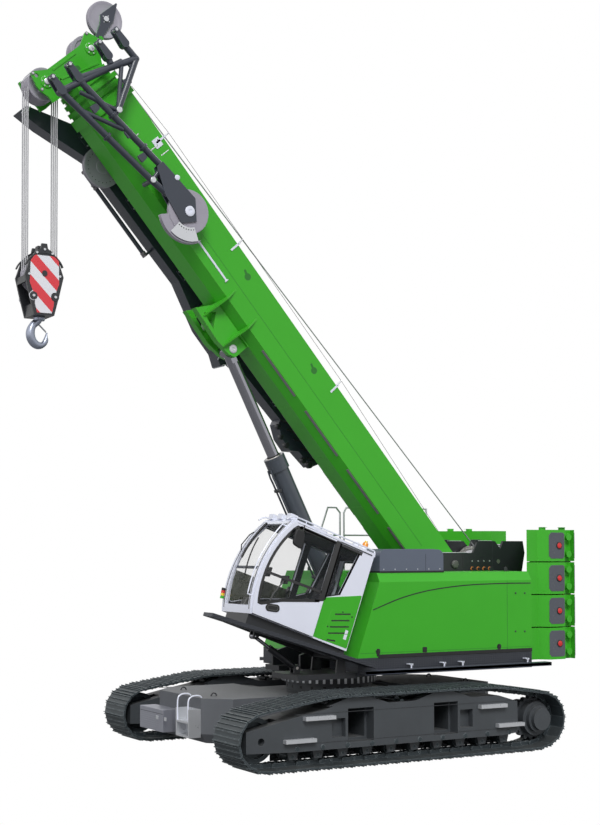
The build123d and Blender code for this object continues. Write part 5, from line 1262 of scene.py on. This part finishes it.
# Textured side panels, corner panels and reflectors, one set to each plate
def weightTrim():
    count = weightDress["plates"]
    bottom, top = weightLow.z, weightHigh.z - 0.05
    pitch = (top - bottom + 0.02) / count
    panels, marks, lamps, lampRims = [], [], [], []
    x0, x1 = weightDress["panel"]
    for n in range(count):
        z0, z1 = bottom + n * pitch + 0.05, bottom + (n + 1) * pitch - 0.07
        middle = (z0 + z1) / 2
        outline = [(x0, z0 + 0.03), (x0 + 0.03, z0), (x1 - 0.05, z0), (x1, z0 + 0.05), (x1, z1 - 0.05),
                   (x1 - 0.05, z1), (x0 + 0.03, z1), (x0, z1 - 0.03)]
        panels += both(prism(outline, *onFace(sideY, 0.005)))
        panels += both(strip((*weightDress["rearCorner"], middle), (0, 0, 1), z1 - z0, 0.15, 0.005,
                             (-1, 1, 0)))
        lampRims += both(spun([(0.0, 0.0), (0.066, 0.0), (0.066, 0.01), (0.052, 0.014), (0.0, 0.014)],
                              (weightDress["reflectorX"], sideY + 0.004, middle), sides=36))
        lamps += both(spun([(0.0, 0.0), (0.052, 0.0), (0.046, 0.008), (0.0, 0.012)],
                           (weightDress["reflectorX"], sideY + 0.017, middle), sides=36))
        wear = [blocks((-3.90 + 0.035 * k, sideY + 0.004, z0 + 0.09 + 0.05 * m),
                       (-3.875 + 0.035 * k, sideY + 0.006, z0 + 0.12 + 0.05 * m))
                for k, m in ((0, 0), (1, 1), (0, 2), (1, 3), (0, 4))]
        marks += both(wear)
    piece("weightPanels", panels, weightPanel, "superstructure", bevel=0.004)
    piece("weightPanelWear", marks, castBallast, "superstructure")
    piece("reflectorRims", lampRims, rubberBlack, "superstructure")
    piece("reflectors", lamps, redPaint, "superstructure")


# Lifting chain from each corner's boss, lying against the plates' recess
def weightChains():
    recessX = -4.23
    links = []
    for n in range(22):
        z = 2.72 - 0.026 * n
        x, y = recessX + 0.09, sideY - 0.055
        ring = []
        for a in np.linspace(0, 2 * np.pi, 13):
            around = (0.012 * math.cos(a), 0.02 * math.sin(a))
            ring.append((x + around[0], y, z + around[1]) if n % 2 else (x, y + around[0], z + around[1]))
        links.append(sweep(ring, 0.004, 6))
    piece("weightChains", both(links), redPaint, "superstructure", slot="green_paint")
    cap = [(0.0, 0.0), (0.075, 0.0), (0.075, 0.004), (0.03, 0.006), (0.0, 0.006)]
    caps = both([spun(cap, (x, 1.365, weightHigh.z - 0.007), (0, 0, 1), 24) for x in (-3.80, -4.235)])
    piece("weightBossCaps", caps, greenPaint, "superstructure")


weightTrim()
weightChains()
ringTrim()
print("counterweights dressed")


# Cab: window frames, panels, rails, mirror, wiper, signal stack, beacon and seat.
cabDress = {"outer": 1.52, "door": 1.571, "inner": 0.605, "far": (0.556, 0.5605), "span": (0.61, 1.47),
            "roof": 1.655, "nose": (2.035, 0.718), "toe": (1.96, -0.07), "roofFront": 1.68,
            "window": [(0.82, 0.54), (1.51, 0.31), (1.86, 0.14)],
            "quarter": [(0.3, 1.54), (0.45, 0.78), (0.7, 0.64), (0.7, 1.54)],
            "slits": ((0.421, 0.437, 0.128, 0.536), (0.455, 0.313, 0.111, 0.429), (0.452, 0.205, 0.09, 0.326),
                      (0.446, 0.099, 0.068, 0.223), (0.433, -0.01, 0.271, 0.022))}


# Points of the cab's curved front between two heights, on the circle through roof, nose and toe
def frontArc(inset, low, high, steps=24):
    a = np.array((cabDress["roofFront"] - 0.8 * inset, cabDress["roof"] - inset))
    b = np.array((cabDress["nose"][0] - inset, cabDress["nose"][1]))
    c = np.array((cabDress["toe"][0] - inset, cabDress["toe"][1] + inset))
    rows = np.stack((2 * (b - a), 2 * (c - b)))
    centre = np.linalg.solve(rows, np.array((b @ b - a @ a, c @ c - b @ b)))
    radius = np.linalg.norm(a - centre)
    w = np.linspace(low, high, steps)
    return np.stack((centre[0] + np.sqrt(radius ** 2 - (w - centre[1]) ** 2), w), 1)


# Outline that runs on past its start, so that a ribbon along it closes
def closed(outline):
    outline = np.asarray(outline, float)
    return np.concatenate((outline, outline[:2]))


# Black bands round the windows, on the door, both sides, the front and the rear
def cabFrames():
    door = cabDress["door"]
    glass = np.concatenate((cabDress["window"], frontArc(0.09, 0.14, 1.54)))
    loop = np.concatenate((glass, [(0.82, 1.54), (0.82, 0.54), (0.9, 0.51)]))
    black = [ribbon(loop, 0.05, *onFace(door, 0.004, 0.004))]
    bands = (([(0.742, 0.56), (0.825, 0.53), (0.825, 1.592), (0.742, 1.594)], 0.005),
             ([(0.742, 1.53), (1.6, 1.53), (1.56, 1.575), (0.742, 1.575)], 0.004))
    black += [prism(outline, *onFace(door, height, 0.002)) for outline, height in bands]
    black.append(ribbon([(0.83, 0.685), (1.4, 0.67), (1.925, 0.655)], 0.045, *onFace(door, 0.004, 0.004)))
    piece("doorFrame", black, glossBlack, "door", smooth=False)
    outer = cabDress["outer"]
    bands = ([(0.68, 0.6), (0.738, 0.575), (0.738, 1.59), (0.68, 1.59)],
             [(0.249, 1.53), (0.74, 1.53), (0.74, 1.59), (0.24, 1.59)])
    surround = [ribbon(closed(cabDress["quarter"]), 0.036, *onFace(outer, 0.004, 0.002))]
    surround += [prism(outline, *onFace(outer, 0.004, 0.002)) for outline in bands]
    piece("quarterFrame", surround, glossBlack, "cab", smooth=False)
    sealIn, farPane = 0.062, 0.56
    seals = [ribbon(frontArc(0.004, 0.0, 1.6), 0.012, *onFace(y, 0.012, 0.012))
             for y in (outer - sealIn, farPane + sealIn)]
    piece("frontSeals", seals, glossBlack, "cab")
    far = [ribbon(loop, 0.04, *cabDress["far"]), ribbon(closed(cabDress["quarter"]), 0.036, *cabDress["far"])]
    lower = np.concatenate((cabDress["window"], frontArc(0.09, 0.15, 0.66, 8), [(0.82, 0.68)]))
    piece("farLowerPane", prism(lower, 0.596, 0.600), tintedPane, "cab", smooth=False)
    piece("farFrames", far, glossBlack, "cab", smooth=False)
    edges = ((0.66, 1.42, 0.79, 0.83), (0.66, 1.42, 1.475, 1.515), (0.66, 0.70, 0.79, 1.515),
             (1.38, 1.42, 0.79, 1.515))
    rear = [blocks((-0.004, y0, z0), (0.004, y1, z1)) for y0, y1, z0, z1 in edges]
    piece("rearFrame", rear, glossBlack, "cab", smooth=False)


# Side panel, its hatch with slits drawn dark as painted shade, and the door's handle and rails
def cabPanels():
    outer = cabDress["outer"]
    green = [(0.658, 0.652), (0.012, 0.905), (0.008, -0.03), (0.735, -0.045), (0.735, 0.55), (0.70, 0.63)]
    piece("cabGreenPanel", prism(rounded(green, 0.03), *onFace(outer, 0.004)), greenPaint, "cab", bevel=0.002)
    hatch = [(0.515, 0.485), (0.062, 0.62), (0.045, 0.0), (0.53, -0.03)]
    piece("cabHatch", prism(rounded(hatch, 0.02), outer + 0.001, outer + 0.0052), greenPaint, "cab",
          bevel=0.002)
    # Vent slits drawn as black strips: painted shade in the openings
    slits = [ribbon([(a, b), ((a + c) / 2, (b + d) / 2), (c, d)], 0.024, outer + 0.003, outer + 0.0056)
             for a, b, c, d in cabDress["slits"]]
    piece("cabSlits", slits, glossBlack, "cab", smooth=False)
    lips = [ribbon([(a, b - 0.018), ((a + c) / 2, (b + d) / 2 - 0.018), (c, d - 0.018)], 0.012, outer + 0.003,
                   outer + 0.0058) for a, b, c, d in cabDress["slits"]]
    piece("cabSlitLips", lips, greenPaint, "cab", bevel=0.001)
    latches = discs([(0.285, outer + 0.004, 0.52), (0.49, outer + 0.004, 0.2), (0.085, outer + 0.004, 0.50)],
                    0.014, 0.0018)
    piece("hatchLatches", latches, glossBlack, "cab")
    label = blocks((0.075, outer + 0.003, 0.10), (0.135, outer + 0.0057, 0.26))
    piece("hatchLabel", label, whitePaint, "cab", smooth=False)
    door = cabDress["door"]
    handle = np.concatenate((arc((1.56, 0.155), 0.062, 75, 255, 12), arc((1.70, 0.125), 0.062, -105, 75, 12)))
    piece("doorHandle", prism(handle, *onFace(door, 0.012)), glossBlack, "door", bevel=0.004)
    inner = np.concatenate((arc((1.57, 0.152), 0.036, 75, 255, 12), arc((1.69, 0.128), 0.036, -105, 75, 12)))
    piece("doorHandleRim", ribbon(closed(inner), 0.008, door + 0.011, door + 0.015), plasticGrey, "door")
    rails = blocks([(0.80, door - 0.04, -0.062), (0.05, outer, 1.60)],
                   [(1.93, door - 0.005, -0.05), (1.62, outer + 0.012, 1.615)])
    piece("doorRails", rails, blackPaint, "cab")


# Dark inner faces: far and near walls round their windows, rear wall, roof and floor
def cabLining():
    walls = ([(0.05, -0.02), (1.88, -0.02), (1.92, 0.13), (1.86, 0.13), (1.51, 0.3), (0.82, 0.53),
              (0.05, 0.53)], [(0.05, 0.53), (0.7, 0.53), (0.7, 0.63), (0.45, 0.775), (0.3, 1.54),
                              (0.05, 1.54)], [(0.7, 0.53), (0.82, 0.53), (0.82, 1.54), (0.7, 1.54)],
             [(0.05, 1.54), (1.64, 1.54), (1.62, 1.606), (0.05, 1.606)])
    inner, (near, far) = cabDress["inner"], cabDress["span"]
    parts = [prism(outline, inner, inner + 0.004) for outline in walls]
    parts.append(prism(walls[1], 1.471, 1.474))
    parts += [blocks((0.046, near, -0.02), (0.05, far, 0.8)), blocks((0.046, near, 1.5), (0.05, far, 1.6)),
              blocks((0.05, near, 1.594), (1.60, far, 1.603))]
    piece("cabLining", parts, cabDark, "cab", smooth=False)
    piece("cabMat", blocks((0.06, 0.62, -0.023), (1.86, 1.46, -0.012)), rubberBlack, "cab")
    visor = prism([(1.60, 1.6), (1.25, 1.6), (1.25, 1.52), (1.5, 1.50)], 0.66, 1.42)
    piece("headliner", visor, cabDark, "cab", bevel=0.01)


# Roof rails, grab rail, mirror, wiper, cross bar, signal stack and beacon
def cabFittings():
    railPath = smoothPath([(1.82, 1.60), (1.74, 1.675), (1.58, 1.70), (0.9, 1.70), (0.10, 1.70), (0.0, 1.67),
                           (-0.02, 1.60)], 48)
    tubes = []
    for y in (1.50, 0.585):
        tubes.append(sweep(sideCurve(railPath, y), 0.013, 10))
        tubes.append(rods([(u, y, 1.62) for u in (1.45, 0.9, 0.3)], [(u, y, 1.70) for u in (1.45, 0.9, 0.3)],
                          0.009, 10))
    piece("roofRails", tubes, whitePaint, "cab")
    grab = frontArc(-0.06, 0.22, 1.50, 26)
    path = sideCurve(grab, 1.475)
    ends = np.array(((1.93, 1.475, 0.22), (1.70, 1.475, 1.5)))
    piece("frontGrabRail", sweep(np.concatenate((ends[:1], path, ends[1:])), 0.012, 10), whitePaint, "cab")
    boxes = blocks([(1.05, 1.44, 1.60), (1.02, 1.43, 1.655)], [(1.30, 1.532, 1.665), (1.33, 1.535, 1.672)])
    piece("roofBox", boxes, whitePaint, "cab", bevel=0.008)
    mirror = rounded([(1.56, 0.0), (1.73, 0.03), (1.76, 0.19), (1.74, 0.30), (1.60, 0.29), (1.55, 0.14)],
                     0.04)
    mirror = mirror + (-0.08, 1.20)
    piece("mirror", prism(mirror, 1.60, 1.66), rubberBlack, "cab", bevel=0.012)
    arm = [(1.50, 1.50, 1.60), (1.52, 1.60, 1.60), (1.54, 1.63, 1.50), (1.57, 1.63, 1.42)]
    piece("mirrorArm", sweep(arm, 0.011, 10), rubberBlack, "cab")
    sweepLine = frontArc(-0.02, 0.86, 1.56, 18)
    wiper = [sweep(sideCurve(sweepLine, 0.80), 0.02, 10),
             sweep([(2.08, 0.80, 0.95), (2.12, 0.82, 1.05), (2.05, 0.86, 1.25), (1.98, 0.84, 1.32)], 0.01, 8)]
    blade = frontArc(-0.006, 0.55, 1.25, 18)
    wiper.append(sweep(sideCurve(blade, np.linspace(1.12, 0.92, 18)), 0.012, 8))
    piece("wiper", wiper, rubberBlack, "cab")
    crossU = frontArc(0.06, 0.70, 0.74, 2)[0][0]
    bar = blocks((crossU - 0.03, 0.65, 0.69), (crossU + 0.01, 1.43, 0.73))
    piece("frontCrossBar", bar, jibGrey, "cab", slot="black_paint", bevel=0.004)
    spots = frontArc(-0.045, 0.12, 0.30, 5)
    stack = (("stackGreen", greenPaint), ("stackYellow", yellowLens), ("stackRed", redPaint),
             ("stackCap", rubberBlack))
    for (name, material), low, high in zip(stack, spots, spots[1:]):
        lamp = rods((low[0], 0.62, low[1]), (high[0], 0.62, high[1] - 0.004), 0.034, 24)
        piece(name, lamp, material, "cab", slot="black_paint")
    beacon = np.array((0.12, 1.34, 1.655))
    piece("beaconBase", rods(beacon, beacon + (0, 0, 0.07), 0.052, 32), whitePaint, "cab")
    dome = [(0.0, 0.07), (0.05, 0.07), (0.05, 0.13), (0.044, 0.15), (0.02, 0.162), (0.0, 0.163)]
    piece("beaconDome", spun(dome, beacon, (0, 0, 1), 32), amberLens, "cab")
    piece("beaconTop", spun([(0.0, 0.16), (0.03, 0.158), (0.024, 0.185), (0.0, 0.19)], beacon, (0, 0, 1), 24),
          yellowLens, "cab")


padShape = {"crown": 0.16, "acrossDepth": 0.18, "alongDepth": 0.14, "alongAt": 0.72, "width": 0.05}


# Cushion: a crowned closed form, its sides pulled in between its corners, with sewn channels
def padForm(centre, half, lean=0.0, channels=(), power=0.32, steps=40):
    u = np.linspace(-np.pi, np.pi, 2 * steps, endpoint=False)
    v = np.linspace(-np.pi / 2, np.pi / 2, steps)
    shape = lambda value, power: np.sign(value) * np.abs(value) ** power
    vv, uu = np.meshgrid(v, u, indexing="ij")
    x = shape(np.cos(vv), power) * shape(np.cos(uu), power)
    y = shape(np.cos(vv), power) * shape(np.sin(uu), power)
    z = shape(np.sin(vv), 0.7)
    pull = 1 - 0.05 * (1 - np.abs(x) ** 2) * np.abs(y) - 0.03 * (1 - np.abs(y) ** 2) * np.abs(x)
    crown = 1 + padShape["crown"] * (1 - x ** 2) * (1 - y ** 2)
    for spot in channels:
        crown = crown - padShape["acrossDepth"] * np.exp(-((x - spot) / padShape["width"]) ** 2)
    alongSeam = np.exp(-((np.abs(y) - padShape["alongAt"]) / padShape["width"]) ** 2)
    crown = crown - padShape["alongDepth"] * alongSeam
    points = np.stack((x * half[0] * pull, y * half[1] * pull, z * half[2] * crown), -1).reshape(-1, 3)
    turn = math.radians(lean)
    axes = np.array(((math.cos(turn), 0, math.sin(turn)), (0, 1, 0), (-math.sin(turn), 0, math.cos(turn))))
    return np.asarray(centre) + points @ axes, gridFaces(*vv.shape)[:-2]


# Padded seat on its frame, with arm consoles, joysticks, monitors and pedals
def cabSeat():
    y = 1.04
    cushion = padForm((0.72, y, 0.375), (0.265, 0.245, 0.06), 4.0, (-0.35, 0.1, 0.5))
    back = padForm((0.475, y, 0.75), (0.31, 0.235, 0.055), 97.0, (-0.55, -0.15, 0.25, 0.6))
    head = padForm((0.43, y, 1.13), (0.085, 0.135, 0.045), 97.0, ())
    for name, form in (("seatCushion", cushion), ("seatBack", back), ("headRest", head)):
        made = piece(name, form, seatCloth, "cab")
    frameParts = [blocks((0.5, y - 0.17, -0.024), (0.9, y + 0.17, 0.10)),
                  blocks((0.52, y - 0.15, 0.10), (0.88, y + 0.15, 0.26)),
                  blocks((0.48, y - 0.22, 0.26), (0.94, y + 0.22, 0.315))]
    frameParts += [rods([(0.44, y - 0.05, 1.0), (0.44, y + 0.05, 1.0)],
                        [(0.43, y - 0.05, 1.12), (0.43, y + 0.05, 1.12)], 0.008)]
    piece("seatFrame", frameParts, plasticGrey, "cab", bevel=0.008, covers=("cab_seat",))
    arms, sticks, knobs = [], [], []
    for side in (-1, 1):
        at = y + side * 0.32
        arms += [blocks((0.5, at - 0.05, 0.43), (1.0, at + 0.05, 0.50)),
                 blocks((0.55, at - 0.06, 0.1), (0.95, at + 0.06, 0.43))]
        sticks += [rods((0.92, at, 0.49), (0.95, at, 0.60), 0.012),
                   spun([(0.0, 0.0), (0.04, 0.0), (0.025, 0.04), (0.0, 0.045)], (0.92, at, 0.50), (0, 0, 1),
                        20)]
        knobs += [padForm((0.955, at, 0.65), (0.028, 0.026, 0.06), 8.0, (), 0.8, 14)]
    piece("armConsoles", arms, plasticGrey, "cab", bevel=0.015)
    piece("joysticks", sticks, rubberBlack, "cab")
    piece("joystickGrips", knobs, glossBlack, "cab")
    monitor = [blocks((1.40, 1.22, 0.62), (1.43, 1.42, 0.76)), blocks((1.52, 0.74, 0.70), (1.55, 1.0, 0.86))]
    stalks = [sweep([(1.6, 1.32, -0.01), (1.55, 1.32, 0.4), (1.43, 1.32, 0.66)], 0.014, 8),
              sweep([(1.7, 0.87, -0.01), (1.62, 0.87, 0.5), (1.55, 0.87, 0.75)], 0.014, 8)]
    piece("monitors", monitor, rubberBlack, "cab", bevel=0.006)
    piece("monitorStalks", stalks, plasticGrey, "cab")
    pedals = [strip((1.72, py, 0.06), (0.6, 0, 0.5), 0.2, 0.07, 0.012, (-0.5, 0, 0.6))
              for py in (0.86, 1.0, 1.16)]
    piece("pedals", pedals, zincSteel, "cab", bevel=0.003)
    dash = prism([(1.55, -0.01), (1.75, -0.01), (1.70, 0.28), (1.60, 0.30)], 0.64, 0.78)
    piece("sideConsole", dash, plasticGrey, "cab", bevel=0.02)


cabFrames()
cabPanels()
cabLining()
cabFittings()
cabSeat()
print("cab dressed")

# Deck: fittings on the frame's wall, and the winches with their rope.
wallY = 0.485
wallDress = {"ports": ((-2.854, 3.101), (-2.995, 3.10), (-3.131, 3.099), (-3.267, 3.098)),
             "filter": (-2.447, 3.182)}


# Ports with plugs and hoses, filter bowl, bolts and cap strips of the deck's wall
def wallTrim():
    ports = [(x, wallY, z) for x, z in wallDress["ports"]]
    rim = [(0, 0), (0.036, 0), (0.034, 0.012), (0, 0.014)]
    plug = [(0, 0.012), (0.024, 0.012), (0.022, 0.03), (0, 0.032)]
    piece("wallPortRims", both([spun(rim, spot, sides=24) for spot in ports]), orangeRing, "superstructure")
    piece("wallPortPlugs", both([spun(plug, spot, sides=24) for spot in ports]), rubberBlack,
          "superstructure")
    x, z = wallDress["filter"]
    bowl = [(0.0, 0.0), (0.075, 0.0), (0.075, 0.03), (0.06, 0.045), (0.03, 0.05), (0.0, 0.05)]
    piece("wallFilter", both(spun(bowl, (x, wallY, z), sides=32)), plasticGrey, "superstructure")
    piece("wallFilterBolts", both(hexBolts(circleSpots((x, z), 0.062, 6, wallY + 0.03), radius=0.008,
                                           height=0.008)), zincSteel, "superstructure")
    piece("wallBolts", both(hexBolts([(x, wallY, 3.24) for x, _, _ in ports], radius=0.014, height=0.01)),
          zincSteel, "superstructure")
    edge = both(blocks((-2.715, wallY - 0.05, 3.392), (-2.001 - 0.1, wallY + 0.006, 3.404)))
    edge += both(blocks((-3.33, wallY - 0.05, 3.613), (-3.0, wallY + 0.006, 3.622)))
    piece("wallCapStrips", edge, zincSteel, "superstructure", bevel=0.002)
    hoses = []
    for n, (px, pz) in enumerate(wallDress["ports"]):
        path = smoothPath([(px, pz - 0.03), (px - 0.03, pz - 0.16), (px + 0.02, pz - 0.32),
                           (px + 0.04 * n, pz - 0.5)], 24)
        hoses += both(sweep(sideCurve(path, wallY + 0.024), 0.012, 8))
    piece("wallHoses", hoses, rubberBlack, "superstructure")
    seam = both(panel(-2.64, -2.632, 1.72, 3.38, wallY, 0.002))
    piece("wallSeams", seam, glossBlack, "superstructure", smooth=False)


# Rope wound side by side on the drum, between its flanges
def windRope(node, body):
    low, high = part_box(node)
    centre = ((low.x + high.x) / 2, 0.0, (low.z + high.z) / 2)
    turns, half, core, wire, flange = 30, 0.35, 0.202, 0.0115, 0.38
    y = np.linspace(-half, half, turns * 8 + 1)
    profile = np.stack((core + wire * np.abs(np.sin(np.pi * (y + half) / (2 * half) * turns)), y), 1)
    profile = np.concatenate(([(core - 0.004, -half)], profile, [(core - 0.004, half)]))
    piece(node + "Rope", spun(profile, centre, (0, 1, 0), 56), ropeWire, body)
    hub = [hexBolts(circleSpots(centre[::2], 0.24, 10, side * flange), (0, side, 0), 0.014, 0.012)
           for side in (-1, 1)]
    piece(node + "Bolts", hub, zincSteel, body)


# Bars across the winches, rising towards the rear, and the tabs on the frame's crown
def winchGuards():
    spots = [(x, 3.47 - 0.25 * (x + 3.62)) for x in (-3.62, -3.76, -3.90)]
    bars = [rods((x, -0.43, z), (x, 0.43, z), 0.016) for x, z in spots]
    plates = both(blocks((-3.06, 0.44, 3.60), (-2.86, 0.48, 3.64)))
    piece("winchGuardBars", bars, zincSteel, "superstructure")
    piece("crownTabs", plates, blackPaint, "superstructure", bevel=0.003)


wallTrim()
windRope("winch_drum_1", "winch_1")
windRope("winch_drum_2", "winch_2")
winchGuards()
print("deck dressed")

# Undercarriage: sprocket hubs, roller caps and guards, step treads, latches, lugs and hoops.
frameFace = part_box("track_frame_left")[1].y


# Sprocket hubs, roller caps and guards, seams of the track frames and treads of the steps
def carriageTrim():
    low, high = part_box("drive_sprockets")
    axle, outer = (low.x + (high.z - low.z) / 2, (low.z + high.z) / 2), high.y
    flange = both(spun([(0.0, 0.0), (0.17, 0.0), (0.165, 0.012), (0.13, 0.02), (0.12, 0.05), (0.0, 0.052)],
                       (axle[0], outer - 0.05, axle[1]), sides=40))
    bolts = both(hexBolts(circleSpots(axle, 0.145, 12, outer - 0.034), radius=0.013, height=0.012))
    piece("sprocketHubs", flange, chassisGrey, "undercarriage", bevel=0.002)
    piece("sprocketBolts", bolts, zincSteel, "undercarriage")
    cap, height = [(0.0, 0.0), (0.045, 0.0), (0.04, 0.012), (0.0, 0.014)], 0.355
    caps = both([spun(cap, (x, frameFace - 0.001, height), sides=20) for x in np.linspace(-2.09, 2.15, 10)])
    piece("rollerCaps", caps, trackIron, "undercarriage", slot="chassis_grey")
    guards = both(blocks((-2.25, 1.80, 0.10), (2.3, 1.825, 0.33)))
    piece("rollerGuards", guards, chassisGrey, "undercarriage", bevel=0.003)
    seams = both([panel(-2.2, 2.2, z, z + 0.010, frameFace, 0.003) for z in (0.42, 0.88)])
    piece("frameSeams", seams, blackPaint, "undercarriage", slot="chassis_grey", smooth=False)
    lips, spots = [], cadPoints("boarding_steps")
    for top in (0.85, 0.515):
        row = spots[(abs(spots[:, 2] - top) < 0.004) & (spots[:, 1] > frameFace - 0.01)]
        for x0 in np.unique(np.round(row[:, 0], 3))[::2]:
            xs = np.arange(x0 + 0.04, x0 + 0.53, 0.06)
            lips += both(blocks([(x, frameFace + 0.012, top - 0.001) for x in xs],
                                [(x + 0.03, frameFace + 0.083, top + 0.004) for x in xs]))
    piece("stepTreads", lips, zincSteel, "undercarriage", bevel=0.001)


# Tool box latches and seam, ballast lugs and the ladder's hoops
def frontTrim():
    low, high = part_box("tool_box")
    front = high.x
    latch = blocks([(front - 0.001, y - 0.04, low.z + 0.2) for y in (-0.25, 0.06)],
                   [(front + 0.008, y + 0.04, low.z + 0.26) for y in (-0.25, 0.06)])
    piece("toolBoxLatches", latch, zincSteel, "undercarriage", bevel=0.002)
    seam = blocks((front - 0.001, low.y + 0.01, high.z - 0.075),
                  (front + 0.001, high.y - 0.01, high.z - 0.068))
    piece("toolBoxSeam", seam, rubberBlack, "undercarriage", slot="chassis_grey", smooth=False)
    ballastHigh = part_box("car_body_ballast")[1]
    lugs = [sweep(sideCurve(arc((side * (ballastHigh.x - 0.35), ballastHigh.z), 0.05, 0, 180, 12), y), 0.012,
                  8) for side in (1, -1) for y in (-0.55, 0.55)]
    piece("ballastLugs", lugs, blackPaint, "undercarriage", slot="chassis_grey")
    x0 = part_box("boarding_steps")[1].x - 0.015
    path = smoothPath([(x0, 0.62), (x0, 0.96), (x0 - 0.05, 1.05), (x0 - 0.15, 1.07), (x0 - 0.24, 1.04),
                       (x0 - 0.27, 0.9), (x0 - 0.27, 0.76)], 36)
    hoops = [sweep(sideCurve(path, y), 0.013, 10) for y in (0.32, 0.70)]
    piece("ladderHoops", hoops, whitePaint, "undercarriage", slot="bare_steel")


carriageTrim()
frontTrim()
print("undercarriage dressed")
